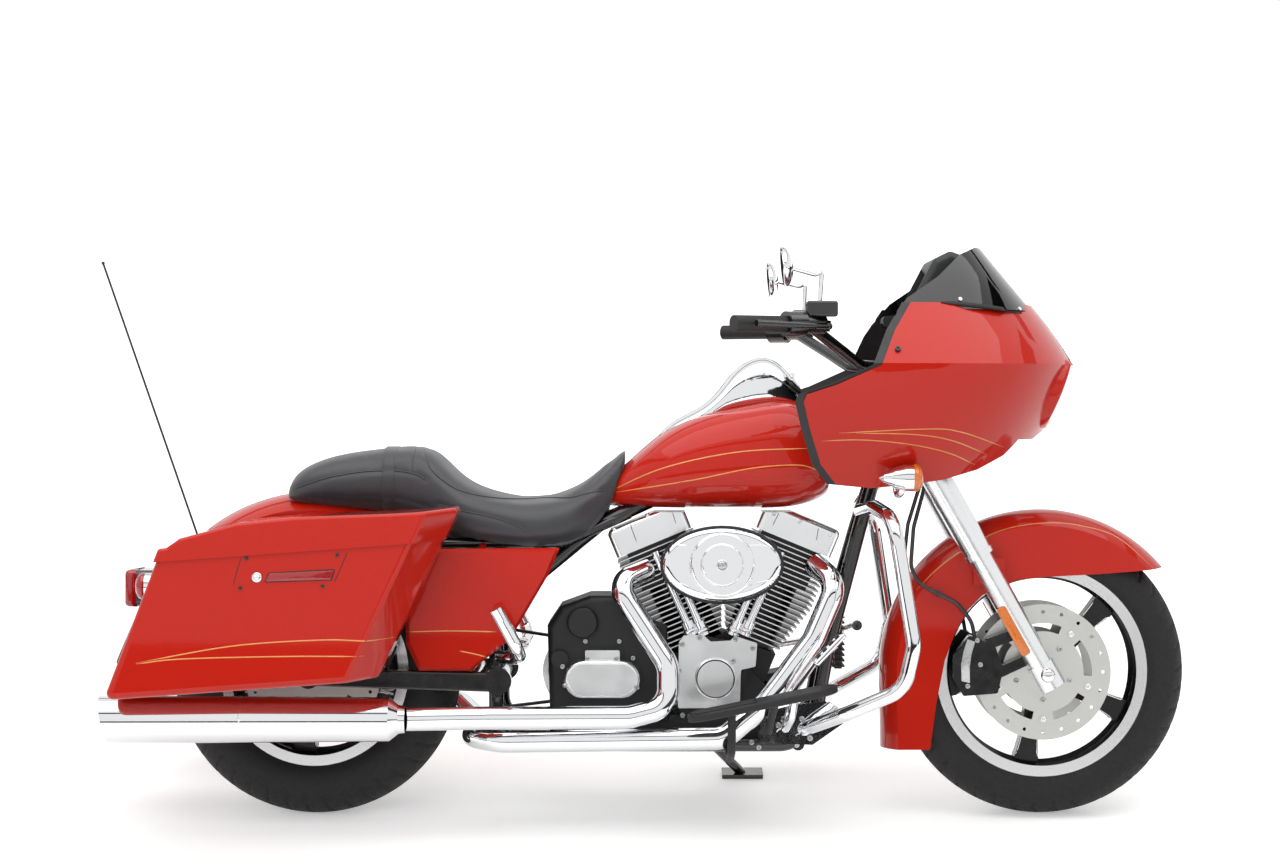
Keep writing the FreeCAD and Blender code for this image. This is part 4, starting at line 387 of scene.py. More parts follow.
def disc_steel(name, centre):
    """Ground stainless brake disc: pads leave rings about a millimetre apart."""
    made = finish(name, Metallic=1.0, Base_Color=colour("#d2d2cf"), Roughness=0.32)
    rings, _ = ring_lines(made, centre, 1.2)
    worn = add(made, "MapRange", "Result", {"Value": rings, "To Min": 0.22, "To Max": 0.46})
    feed(made, "Roughness", worn)
    grained(made, rings, 0.05, 0.4)
    return made


front_disc_steel = disc_steel("ground_stainless_front", FRONT_AXLE)
rear_disc_steel = disc_steel("ground_stainless_rear", REAR_AXLE)
print("bright metals ready")

# %% [markdown]
# ## Black finishes
# Three blacks tell the parts apart: gloss enamel on the frame and wheels, wrinkle powder coat on the cases
# and fins, and moulded ABS with a fine leather-like texture inside the fairing.

# %% Enamel, wrinkle coat and ABS
black_enamel = finish("gloss_black_enamel", Base_Color=colour("#0b0b0c"), Coat_Weight=0.6,
                      Coat_Roughness=0.06)
varied(black_enamel, "Roughness", 25.0, 0.18, 0.3)

wrinkle_coat = finish("black_wrinkle_powder_coat", Base_Color=colour("#141415"), Specular_IOR_Level=0.45)
wrinkles = varied(wrinkle_coat, "Roughness", 1.4, 0.38, 0.6, 4.0)
grained(wrinkle_coat, wrinkles, 0.35, 0.6)

moulded_abs = finish("moulded_black_abs", Base_Color=colour("#1a1b1d"))
pores = pattern(moulded_abs, "TexVoronoi", "Distance", 1.8)
grained(moulded_abs, pores, 0.12, 0.5)
varied(moulded_abs, "Roughness", 30.0, 0.4, 0.52)

# Rubber: tyres are dusty carbon black, grips and pads a little glossier.
tyre_rubber = finish("vulcanised_tyre_rubber", Specular_IOR_Level=0.35)
dust = varied(tyre_rubber, "Roughness", 9.0, 0.62, 0.82)
two_tone(tyre_rubber, dust, "#1b1b1c", "#272728")
grained(tyre_rubber, dust, 0.2, 0.3)

pad_rubber = finish("moulded_pad_rubber", Base_Color=colour("#161617"))
nap = varied(pad_rubber, "Roughness", 1.5, 0.5, 0.66)
grained(pad_rubber, nap, 0.15, 0.4)
print("blacks and rubbers ready")

# %% [markdown]
# ## Machined wheel faces
# A cast wheel is painted black all over and then its flange is turned bright on a lathe. The same can be
# done in the material: where a point lies far from the axle and its face looks sideways, the metal shows.

# %% Wheel finish
def machined_wheel(name, centre, lip_mm):
    """Black enamel, with bare turned aluminium on the flange beyond a radius."""
    made = finish(name, Roughness=0.24)
    rings, distance = ring_lines(made, centre, 0.9)
    across = {0: add(made, "NewGeometry", "Normal"), 1: tuple(leaned(np.array([0, 1000.0, 0])))}
    facing = add(made, "VectorMath", "Value", across, operation="DOT_PRODUCT")
    facing = add(made, "Math", "Value", {0: facing}, operation="ABSOLUTE")
    sideways = add(made, "Math", "Value", {0: facing, 1: 0.45}, operation="GREATER_THAN")
    beyond = add(made, "Math", "Value", {0: distance, 1: lip_mm / 1000}, operation="GREATER_THAN")
    mask = add(made, "Math", "Value", {0: beyond, 1: sideways}, operation="MULTIPLY")
    two_tone(made, mask, "#0c0c0d", "#ebebec")
    feed(made, "Metallic", mask)
    lathed = add(made, "MapRange", "Result", {"Value": rings, "To Min": 0.16, "To Max": 0.32})
    feed(made, "Roughness", lathed)
    return made


front_wheel_finish = machined_wheel("diamond_cut_front_wheel", FRONT_AXLE, 216)
rear_wheel_finish = machined_wheel("diamond_cut_rear_wheel", REAR_AXLE, 190)

# %% [markdown]
# ## Fins with bright rims
# The cylinders are powder coated black and then the rims of the fins are milled bare. A rim is a face whose
# normal is square to the bore and that lies outside the barrel, so the material needs only the bore's line.
# Only the crown of each fin is bare: the height along the bore, counted in fins, is near a whole number
# there.

# %% Bright fin rims
CRANK = np.array([100.0, 0.0, 245.0])
FIN_PITCH, FIRST_FIN, CROWN, BARREL = 11.5, 163.5, 1.2, 64.0
BANK = math.radians(22.5)
bright_fins = finish("milled_fin_rims", Roughness=0.3)


def bare_crowns(tilt):
    """1 on the crowns of the fins round the bore at this tilt, and 0 elsewhere."""
    bore = tuple(leaned(np.array([math.sin(tilt), 0, math.cos(tilt)]) * 1000))
    place = {0: where(bright_fins), 1: tuple(world(CRANK))}
    from_crank = add(bright_fins, "VectorMath", "Vector", place, operation="SUBTRACT")
    square = add(bright_fins, "VectorMath", "Vector", {0: from_crank, 1: bore}, operation="CROSS_PRODUCT")
    away = add(bright_fins, "VectorMath", "Value", {0: square}, operation="LENGTH")
    outside = add(bright_fins, "Math", "Value", {0: away, 1: BARREL / 1000}, operation="GREATER_THAN")
    normal = add(bright_fins, "NewGeometry", "Normal")
    facing = add(bright_fins, "VectorMath", "Value", {0: normal, 1: bore}, operation="DOT_PRODUCT")
    facing = add(bright_fins, "Math", "Value", {0: facing}, operation="ABSOLUTE")
    square_to_bore = add(bright_fins, "Math", "Value", {0: facing, 1: 0.3}, operation="LESS_THAN")
    rim = add(bright_fins, "Math", "Value", {0: square_to_bore, 1: outside}, operation="MULTIPLY")
    height = add(bright_fins, "VectorMath", "Value", {0: from_crank, 1: bore}, operation="DOT_PRODUCT")
    in_fins = {0: height, 1: 1000 / FIN_PITCH, 2: -FIRST_FIN / FIN_PITCH}
    fins = add(bright_fins, "Math", "Value", in_fins, operation="MULTIPLY_ADD")
    off_crown = add(bright_fins, "Math", "Value", {0: fins, 1: 0.5}, operation="PINGPONG")
    crown = add(bright_fins, "Math", "Value", {0: off_crown, 1: CROWN / FIN_PITCH}, operation="LESS_THAN")
    return add(bright_fins, "Math", "Value", {0: rim, 1: crown}, operation="MULTIPLY")


rear_bank, front_bank = bare_crowns(-BANK), bare_crowns(BANK)
forward = add(bright_fins, "SeparateXYZ", "X", {"Vector": where(bright_fins)})
crank_x = float(world(CRANK)[0])
ahead = add(bright_fins, "Math", "Value", {0: forward, 1: crank_x}, operation="GREATER_THAN")
bare = add(bright_fins, "Mix", 0, {0: ahead, 2: rear_bank, 3: front_bank})
two_tone(bright_fins, bare, "#0d0d0e", "#e2e3e4")
feed(bright_fins, "Metallic", bare)
print("fin rims show bare metal")

# %% [markdown]
# ## Clear and coloured plastics
# The windshield is smoked polycarbonate, and the lenses are tinted acrylic. They are real solids with two
# surfaces, so the light is coloured by passing through them.

# %% Smoked screen, lenses and leather
smoked_screen = finish("smoked_polycarbonate", Base_Color=colour("#0a0a0c"), IOR=1.58,
                       Transmission_Weight=0.45)
varied(smoked_screen, "Roughness", 60.0, 0.02, 0.06)

clear_lens = finish("clear_acrylic_lens", Base_Color=colour("#f4f6f8"), IOR=1.49, Transmission_Weight=1.0)
varied(clear_lens, "Roughness", 30.0, 0.0, 0.03)


def lens(name, tint, deep):
    """Coloured acrylic with the prism pattern of a reflector, about 3 mm across."""
    made = finish(name, Roughness=0.12, IOR=1.49, Transmission_Weight=0.25, Coat_Weight=0.8,
                  Coat_Roughness=0.04)
    prisms = pattern(made, "TexVoronoi", "Distance", 3.2, feature="F1", distance="CHEBYCHEV")
    two_tone(made, prisms, tint, deep)
    grained(made, prisms, 0.5, 0.5)
    return made


amber_lens = lens("amber_acrylic", "#ff8c1a", "#d8650a")
red_lens = lens("red_acrylic", "#c8141a", "#8c0c10")

# The saddle cover is vinyl with a leather grain: pores about 2 mm apart, and slightly worn high spots.
saddle_vinyl = finish("grained_saddle_vinyl", Specular_IOR_Level=0.5, Sheen_Weight=0.15)
wear = varied(saddle_vinyl, "Roughness", 60.0, 0.36, 0.5)
two_tone(saddle_vinyl, wear, "#2b2c2f", "#393a3e")
leather_grain = pattern(saddle_vinyl, "TexVoronoi", "Distance", 2.2, feature="DISTANCE_TO_EDGE")
grained(saddle_vinyl, leather_grain, 0.35, 0.55)
print("materials:", len(bpy.data.materials))

# %% [markdown]
# ## Painting the CAD nodes
# Each node keeps its shape and gets one of the finishes above. The table reads like a parts list.

# %% Finishes for the nodes
finishes = {
    red_lacquer: "front_fender rear_fender fuel_tank side_covers saddlebag_left saddlebag_right bag_lid_left "
                 "bag_lid_right fairing_shell",
    chrome_plate: "mufflers exhaust_headers engine_guard air_cleaner horn_cover tank_console fuel_door "
                  "mirrors turn_signals headlamps pushrod_tubes pillion_pegs foot_controls",
    bright_alloy: "rocker_covers engine_covers fork_legs shocks",
    bright_fins: "cylinders",
    black_enamel: "frame swingarm fork_yokes front_calipers side_stand tail_lamp handlebar bar_controls",
    wrinkle_coat: "engine_case gearbox oil_cooler",
    moulded_abs: "inner_fairing gauge_pod antenna",
    front_disc_steel: "front_discs",
    rear_disc_steel: "rear_disc_and_pulley",
    front_wheel_finish: "front_rim",
    rear_wheel_finish: "rear_rim",
    pad_rubber: "grips footboards drive_belt",
    smoked_screen: "windshield",
    clear_lens: "headlamp_lenses",
    saddle_vinyl: "seat",
    tyre_rubber: "front_tyre rear_tyre",
}
for material, names in finishes.items():
    for name in names.split():
        slots = nodes[name].data.materials
        slots.clear()
        slots.append(material)
print("painted:", sum(len(names.split()) for names in finishes.values()), "of", len(nodes))

# %% [markdown]
# ## Tyres with tread
# The CAD tyres are smooth rings. A real touring tyre has a round crown with slanted grooves and a plain
# sidewall with moulded ribs. The section is three arcs; it is carried round the axle as a grid, and the
# grooves are pressed in by moving points towards the axle. The grid is fine enough that the grooves are
# real geometry.

# %% Tyres
TREAD_STEPS, PITCHES, TREAD_MM = 840, 42, 4.5


def arc_through(a, b, c, count):
    """Points on the circle through three points: its centre solves two equal-distance equations."""
    a, b, c = (np.asarray(p, float) for p in (a, b, c))
    matrix = 2 * np.array([b - a, c - b])
    centre = np.linalg.solve(matrix, [b @ b - a @ a, c @ c - b @ b])
    angles = [math.atan2(*(p - centre)[::-1]) for p in (a, b, c)]
    sweep = (angles[2] - angles[0]) % (2 * np.pi)
    if (angles[1] - angles[0]) % (2 * np.pi) > sweep:
        sweep -= 2 * np.pi
    t = angles[0] + np.linspace(0, 1, count) * sweep
    return centre + np.linalg.norm(a - centre) * np.stack([np.cos(t), np.sin(t)], -1)


def tread_depth(y, around, half):
    """0 to 1 where a groove is: slanted cuts that repeat round the tyre, shallower towards the middle."""
    side = np.abs(y) / half
    phase = around * PITCHES + 0.55 * side * np.sign(y) + 0.5 * (y > 0)
    swing = np.abs((phase % 1.0) - 0.5) * 2
    cut = np.clip((swing - 0.78) / 0.12, 0, 1)
    middle = np.clip((0.055 - np.abs(side - 0.17)) / 0.02, 0, 1)
    zone = np.clip((side - 0.22) / 0.06, 0, 1) * np.clip((0.94 - side) / 0.05, 0, 1)
    return np.maximum(cut * zone, 0.8 * middle)


def treaded_tyre(name, axle, radius, width, crown, seat, rim_width, body):
    """Grid of angle round the axle by place along the section, pressed in by the tread depth."""
    half = width / 2
    shoulder = half - 6
    shoulder_r = radius - (crown - math.sqrt(crown**2 - shoulder**2))
    belly_r = (shoulder_r + seat) / 2 + 6
    bead = rim_width / 2 - 8
    top = arc_through((-shoulder, shoulder_r), (0, radius), (shoulder, shoulder_r), 45)
    side = arc_through((shoulder, shoulder_r), (half, belly_r), (bead, seat), 15)[1:]
    section = np.concatenate([side[::-1] * [-1, 1], top, side])
    # A raised rib protects the rim, and two fine lines ring the sidewall.
    y, r = section[:, 0], section[:, 1]
    on_wall = np.abs(y) > shoulder - 1
    rib = np.exp(-((r - seat - 17) / 3.0) ** 2) * 1.2 + np.exp(-((r - belly_r - 12) / 1.6) ** 2) * 0.7
    y = y + np.sign(y) * rib * on_wall
    around = np.arange(TREAD_STEPS) / TREAD_STEPS
    on_tread = (np.abs(y[None]) < shoulder - 1) * (r[None] > shoulder_r - 2)
    rr = r[None] - TREAD_MM * tread_depth(y[None], around[:, None], half) * on_tread
    t = 2 * np.pi * around[:, None]
    points = np.stack([np.sin(t) * rr, np.broadcast_to(y, rr.shape), np.cos(t) * rr], -1) + axle
    faces = grid_faces(TREAD_STEPS, len(section), wrap_rows=True, wrap_columns=True)
    made = make(name, [(points, faces)], tyre_rubber, body)
    print(name, "triangles", 2 * TREAD_STEPS * len(section))
    return made


front_tread = treaded_tyre("front_tyre_treaded", FRONT_AXLE, 320, 130, 75, 229, 98, "front_wheel")
rear_tread = treaded_tyre("rear_tyre_treaded", REAR_AXLE, 320, 180, 95, 204, 138, "rear_wheel")
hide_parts("front_tyre")
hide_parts("rear_tyre")

# %% [markdown]
# ## Pinstripes
# Fine gold lines follow the panels. Each is drawn as a few points seen from the side, smoothed, and dropped
# onto the panel by rays, once from the right and once from the left. A ribbon half a millimetre proud
# carries the gold. Places in the side view are pixels of the photograph; a surface nearer to the camera
# looks larger.

# %% Pinstripes
SCALE = 2.2387
DISTANCE = 6500.0
LOOK_X, LOOK_Z = -63.0, 922.0
MIDDLE_PX, FLOOR_PX = 678.35, 811.8


def seen_at(px, depth_mm):
    """Upright (x, z) of a point measured in the side view, for a surface this far from the middle plane."""
    px = np.asarray(px, float)
    near = 1 - depth_mm / DISTANCE
    x = LOOK_X + ((px[..., 0] - MIDDLE_PX) * SCALE - LOOK_X) * near
    z = LOOK_Z + ((FLOOR_PX - px[..., 1]) * SCALE - LOOK_Z) * near
    return np.stack([x, z], -1)


def ribbon(path, normals, width, proud=0.4):
    """A thin band on a surface: points to both sides of the path, lifted along the normal."""
    along = unit(np.gradient(path, axis=0))
    out = unit(normals)
    across = unit(np.cross(along, out))
    taper = np.clip(np.minimum(np.arange(len(path)), np.arange(len(path))[::-1]) / 6, 0.25, 1)[:, None]
    half = across * width / 2 * taper
    low, high = -0.3 * out, proud * out
    rows = np.stack([path - half + low, path - half + high, path + half + high, path + half + low], 1)
    return rows.reshape(-1, 3), grid_faces(len(path), 4, wrap_columns=True)


STRIPES = (
    ("saddlebag", "chassis", 440, ((136, 663), (233, 646), (322, 640), (376, 641), (440, 636))),
    ("saddlebag", "chassis", 440, ((136, 664), (182, 659), (284, 656.5), (363, 656.5))),
    ("side_covers", "chassis", 200, ((402, 632), (450, 631), (496, 632))),
    ("side_covers", "chassis", 200, ((459, 651), (478, 655), (494, 660))),
    ("fuel_tank", "chassis", 150, ((606, 494), (664, 468), (737, 452), (812, 448))),
    ("fuel_tank", "chassis", 150, ((606, 495), (693, 480), (752, 468), (799, 465), (822, 472))),
    ("fairing_shell", "chassis", 330, ((839, 433), (926, 429), (962, 432), (1011, 448))),
    ("fairing_shell", "chassis", 330, ((856, 433), (914, 434.5), (953, 440.5), (992, 455))),
    ("fairing_shell", "chassis", 330, ((822, 441), (865, 440), (914, 445), (953, 454), (981, 466))),
    ("front_fender", "fork", 78, ((917, 590), (942, 565), (978, 541), (1010, 528), (1048, 523), (1082, 526),
                                 (1119, 538), (1155, 569))),
)
made_stripes = {}
for node, body, depth, px in STRIPES:
    view = smooth_path(seen_at(px, depth), 70)
    for side, word in SIDES:
        path, normals = from_side(f"{node}_{word}" if node == "saddlebag" else node, view, side)
        if len(path) > 8:
            made_stripes.setdefault((node, word, body), []).append(ribbon(path, normals, 2.6))
for (node, word, body), parts in made_stripes.items():
    make(f"{node}_pinstripes_{word}", parts, stripe_gold, body)
print("pinstripes:", {f"{k[0]} {k[1]}": len(v) for k, v in made_stripes.items()})

# %% [markdown]
# ## The saddle
# A saddle is moulded foam under stretched vinyl, so nothing on it is flat or sharp. The CAD solid gives its
# size. A copy is remeshed into even squares, drawn in by four millimetres, and blown up by the cloth
# solver; no point may move more than five millimetres, so it ends about where the solid's skin was. The
# sewn seams come after that: points near a seam are pressed in, because thread pulls the cover into the
# foam.

# %% Padded saddle
# All in millimetres: how deep and wide a seam pulls, the remeshed squares, the drawing in and the puff.
SEAM_DEPTH, SEAM_REACH = 2.2, 7.0
SQUARE, DRAWN_IN, PUFF = 6.3, 4.0, 5.0


def put_points(piece, points):
    """Moves all vertices of a piece to these places, metres."""
    piece.data.vertices.foreach_set("co", points.ravel())
    piece.data.update()


def press_in(piece, depth):
    """Moves each vertex inwards along its normal by a depth in metres."""
    normals = np.empty(len(piece.data.vertices) * 3)
    piece.data.vertex_normals.foreach_get("vector", normals)
    put_points(piece, points_of(piece.data) - depth * normals.reshape(-1, 3))


def settle(piece):
    """Puts the result of a piece's modifiers into its mesh and takes the modifiers off."""
    done = bpy.data.meshes.new_from_object(piece.evaluated_get(bpy.context.evaluated_depsgraph_get()))
    piece.modifiers.clear()
    piece.data = done


def puffed(piece, cap_mm):
    """Cloth with pressure and no gravity for 20 frames; each point keeps at most cap_mm of its movement."""
    start = points_of(piece.data)
    air = piece.modifiers.new("air", "CLOTH")
    air.settings.use_pressure = True
    air.settings.uniform_pressure_force = 4.0
    air.settings.effector_weights.gravity = 0.0
    for step in range(1, 21):
        scene.frame_set(step)
    blown = piece.evaluated_get(bpy.context.evaluated_depsgraph_get())
    move = points_of(blown.data) - start
    piece.modifiers.clear()
    scene.frame_set(1)
    far = np.linalg.norm(move, axis=1, keepdims=True)
    put_points(piece, start + move * np.minimum(1, cap_mm / 1000 / np.maximum(far, 1e-9)))


# Each seam is a few points measured in the side view; both sides of the saddle have it.
SEAMS = (
    ((293, 489), (310, 483), (332, 476.7), (364.6, 471.7), (394.5, 471), (414.4, 474.2), (425.6, 480)),
    ((412.5, 450), (411.5, 460), (412, 472)),
    ((423, 452), (431, 470), (449, 485), (464, 492), (489, 497.6), (521, 500), (551, 498.5)),
    ((439, 504.6), (464, 510.8), (489, 515.8), (506.4, 520.7), (518.9, 525.7), (528.8, 532)),
    ((551, 498.5), (571, 497.6), (588.5, 493.4), (603, 491)),
)
seam_views = [smooth_path(seen_at(px, 150), 60) for px in SEAMS]

saddle = bpy.data.objects.new("padded_saddle", nodes["seat"].data.copy())
scene.collection.objects.link(saddle)
shell = bmesh.new()
shell.from_mesh(saddle.data)
bmesh.ops.remove_doubles(shell, verts=shell.verts, dist=1e-5)
shell.to_mesh(saddle.data)
shell.free()
even = saddle.modifiers.new("even_squares", "REMESH")
even.mode = "VOXEL"
even.voxel_size = SQUARE / 1000
settle(saddle)
press_in(saddle, DRAWN_IN / 1000)
puffed(saddle, PUFF)
rounder = saddle.modifiers.new("rounder", "SMOOTH")
rounder.factor, rounder.iterations = 0.5, 4
settle(saddle)
flat = upright(points_of(saddle.data))[:, [0, 2]]
near = np.min(np.linalg.norm(flat[:, None] - np.concatenate(seam_views)[None], axis=2), axis=1)
press_in(saddle, SEAM_DEPTH / 1000 * np.exp(-((near / SEAM_REACH) ** 2))[:, None])
finer = saddle.modifiers.new("finer", "SUBSURF")
finer.levels = finer.render_levels = 1
settle(saddle)
saddle.data.polygons.foreach_set("use_smooth", np.ones(len(saddle.data.polygons), dtype=bool))
saddle.data.materials.clear()
saddle.data.materials.append(saddle_vinyl)
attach(saddle, "chassis")
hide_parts("seat")
surfaces["padded_saddle"] = saddle
print("saddle:", len(saddle.data.polygons), "faces, seams pulled in by up to", SEAM_DEPTH, "mm")

# %% Saddle piping and strap
welts = []
for view in seam_views:
    for side, _ in SIDES:
        path, normals = from_side("padded_saddle", view, side)
        if len(path) > 8:
            welts.append(tube(path + 0.4 * normals, 1.3, 8))
make("saddle_piping", welts, saddle_vinyl)

# The strap that a passenger holds goes over the pillion pad. Rays from all round the pad's middle find it.
PAD_MIDDLE_Z, AROUND_PAD = 735, 420
round_pad = np.radians(np.linspace(-42, 222, 110))
strap_x, strap_wide = seen_at((388.2, 480), 140)[0], 27.0
spokes = np.stack([np.zeros_like(round_pad), np.cos(round_pad), np.sin(round_pad)], -1)
path, normals = land("padded_saddle", spokes * AROUND_PAD + [strap_x, 0, PAD_MIDDLE_Z], -spokes)
edge = np.array([-1.0, -1.0, -0.92, 0.92, 1.0, 1.0]) * strap_wide / 2
height = np.array([-1.5, 1.4, 2.4, 2.4, 1.4, -1.5])
rows = path[:, None] + edge[None, :, None] * [1.0, 0, 0] + height[None, :, None] * unit(normals)[:, None]
make("pillion_strap", [(rows, grid_faces(len(path), 6, wrap_columns=True))], saddle_vinyl)
print("piping:", len(welts), "runs; strap points:", len(path))

# %% [markdown]
# ## Screws, seams and small plates
# What makes a machine look real from a step away is its fasteners. A socket-head screw is a short profile
# turned round the normal of the metal it sits on, so it always stands square to its cover. The same rays
# place gaskets, seams and plates.

# %% Screws
SCREW = np.array([(-0.6, 0), (-0.6, 1), (0.7, 1), (0.95, 0.86), (0.95, 0.5), (0.35, 0.46), (0.35, 0)])


def screw(centre, axis, radius):
    """Socket-head screw: a turned profile with a rounded rim and a sunk socket, in head radii."""
    return turned(SCREW * radius, centre, axis, 16)


def screws(name, names, side, radius, spots, material=zinc_steel, depth=150, body="chassis"):
    """One piece made of a screw at each measured spot, all standing on the named nodes."""
    places, normals = from_side(names, seen_at(spots, depth), side)
    make(name, [screw(p, n, radius) for p, n in zip(places, normals)], material, body)
    print(name, len(places), "of", len(spots))


screws("cam_cover_screws", "engine_covers engine_case", -1, 6.0,
       ((699.8, 638.2), (682.4, 644.9), (735.9, 639.6), (752.9, 649), (733.5, 661.6), (679, 671), (678, 695),
        (683, 718)))
screws("gearbox_screws", "gearbox engine_covers engine_case", -1, 5.5,
       ((587, 659.6), (616, 660), (584.9, 642.9), (619, 643), (565, 686), (636.5, 687.8), (562, 668),
        (633, 660)))
screws("rocker_screws", "rocker_covers", -1, 5.0,
       ((647.8, 516), (614, 530), (620, 524), (664, 510), (800.8, 522), (831.4, 536), (838, 545), (775, 514)),
       chrome_plate, 100)
screws("master_cylinder_screws", "foot_controls frame", -1, 6.0,
       ((778, 724.9), (784.5, 720.8), (798.8, 725.9), (801.8, 718.8), (810, 738), (796.7, 745.3),
        (759, 747.3), (751.8, 743.3)))
for side, word in SIDES:
    screws(f"bag_{word}_screws", f"saddlebag_{word}", side, 4.0,
           ((246.3, 558), (337.1, 554.9), (240.2, 587.9), (322.6, 586)), black_enamel, 440)
for side, word in SIDES:
    screws(f"fairing_screw_{word}", "inner_fairing fairing_shell", side, 6.5, ((896.5, 349.8),),
           black_enamel, 330)
    screws(f"screen_screws_{word}", "windshield", side, 4.5, ((957.7, 300.2), (1021.5, 308.5)),
           chrome_plate, 200)

# %% Brake disc and wheel screws
def screws_round(name, names, side, centre, radius, count, first, head, body, material=zinc_steel):
    """One piece made of screws evenly round an axle, on whatever the named nodes have there."""
    t = np.radians(first) + np.linspace(0, 2 * np.pi, count, endpoint=False)
    spots = np.stack([centre[0] + radius * np.sin(t), centre[2] + radius * np.cos(t)], -1)
    places, _ = from_side(names, spots, side)
    make(name, [screw(p, (0.0, side, 0.0), head) for p in places], material, body)
    print(name, len(places))


for side, word in SIDES:
    screws_round(f"disc_carrier_screws_{word}", "front_discs", side, FRONT_AXLE, 62, 5, 36, 6.0,
                 "front_wheel")
    screws_round(f"disc_buttons_{word}", "front_discs", side, FRONT_AXLE, 104, 5, 36, 7.0,
                 "front_wheel", chrome_plate)
screws_round("rear_disc_screws", "rear_disc_and_pulley", -1, REAR_AXLE, 62, 5, 36, 6.0, "rear_wheel")
screws_round("pulley_screws", "rear_disc_and_pulley", 1, REAR_AXLE, 40, 5, 0, 6.0, "rear_wheel")

# %% Axle caps
CAP = [(-6, 0), (-6, 15), (2, 16), (8, 15), (12, 11), (13.5, 5), (13.5, 0)]
for name, axle, out, body in (("front_axle_caps", FRONT_AXLE, 151, "fork"),
                              ("rear_axle_caps", REAR_AXLE, 194, "chassis")):
    caps = [turned(CAP, axle + [0, side * out, 0], (0, side, 0), 40) for side, _ in SIDES]
    make(name, caps, chrome_plate, body)
print("axle caps on both wheels")

# %% [markdown]
# ## Plates, lenses and reflectors
# A plate is an outline with rounded corners, given a thickness along a normal and a small bevel so that its
# edge catches the light. Reflectors, the tail lamp's lens, the blank number plate and the mirror glass are
# all plates of this kind.

# %% Plates
UP = (0, 0, 1)


def rounded_outline(corners, radius, steps=6):
    """Each corner p becomes the curve (1-t)^2 a + 2t(1-t) p + t^2 b; a and b lie a radius away."""
    p = np.asarray(corners, float)
    a = p + radius * unit(np.roll(p, 1, 0) - p)
    b = p + radius * unit(np.roll(p, -1, 0) - p)
    t = np.linspace(0, 1, steps)[None, :, None]
    curve = (1 - t) ** 2 * a[:, None] + 2 * t * (1 - t) * p[:, None] + t**2 * b[:, None]
    return curve.reshape(-1, 2)


def plate(outline, centre, normal, up, thick, bevel=1.0, sunk=1.0):
    """A solid with this outline in the plane square to the normal; its front edge is bevelled."""
    n = unit(normal)
    a = unit(np.cross(up, n))
    b = np.cross(n, a)
    ring = np.asarray(outline, float)
    along = unit(np.roll(ring, -1, 0) - np.roll(ring, 1, 0))
    outward = np.stack([along[:, 1], -along[:, 0]], -1)
    if np.sum(outward * (ring - ring.mean(0))) < 0:
        outward = -outward
    middle = np.repeat(ring.mean(0)[None], len(ring), 0)
    levels = ((middle, -sunk), (ring, -sunk), (ring, thick - bevel),
              (ring - outward * bevel * 0.3, thick - bevel * 0.3), (ring - outward * bevel, thick),
              (middle, thick))
    rows = [centre + r[:, :1] * a + r[:, 1:] * b + h * n for r, h in levels]
    return np.concatenate(rows), grid_faces(len(levels), len(ring), wrap_columns=True)


def rounded_box(wide, high, radius):
    """A box outline round the middle, with rounded corners."""
    corners = np.array([(-wide, -high), (wide, -high), (wide, high), (-wide, high)]) / 2
    return rounded_outline(corners, radius)


# The red reflector and lock of each bag, and the amber reflector of each fork leg.
LOCK = [(-2, 0), (-2, 11), (3, 11), (5, 9), (5, 4), (3, 3.5), (3, 0)]
LOCK_X, LOCK_Z = -884, 552
corners = seen_at(((265.6, 581.5), (269.2, 573.2), (334, 570.2), (331, 579.6)), 440)
middle = corners.mean(0)
fork_up = (-math.sin(FORK_ANGLE), 0, math.cos(FORK_ANGLE))
for side, word in SIDES:
    bag = f"saddlebag_{word}"
    spot, normal = land_one(bag, (middle[0], side * OUTSIDE, middle[1]), (0, -side, 0))
    outline = (corners - middle) * [-side, 1]
    make(f"bag_reflector_{word}", [plate(rounded_outline(outline, 3), spot, normal, UP, 3.2)], red_lens)
    edging = plate(rounded_outline(outline * [1.035, 1.2], 4), spot, normal, UP, 1.6)
    make(f"bag_reflector_frame_{word}", [edging], pad_rubber)
    spot, normal = land_one(bag, (LOCK_X, side * OUTSIDE, LOCK_Z), (0, -side, 0))
    make(f"bag_lock_{word}", [turned(LOCK, spot, normal, 32)], chrome_plate)
    leg_spot = seen_at((1014.2, 631.4), 150)
    spot, _ = land_one("fork_legs", (leg_spot[0], side * 400, leg_spot[1]), (0, -side, 0))
    amber = plate(rounded_box(22, 120, 8), spot, (0, side, 0), fork_up, 7.0, 2.0, 6.0)
    make(f"fork_reflector_{word}", [amber], amber_lens, "fork")
print("reflectors and locks on both sides")

# %% Dark seams and gaskets
def seam(name, names, px, material, width, depth=150, sides=(-1, 1), proud=0.35):
    """A thin band along measured points, on each side where the nodes are met."""
    parts = []
    for side in sides:
        for line in px:
            path, normals = from_side(names, smooth_path(seen_at(line, depth), 60), side)
            if len(path) > 6:
                parts.append(ribbon(path, normals, width, proud))
    make(name, parts, material)
    print(name, len(parts), "runs")


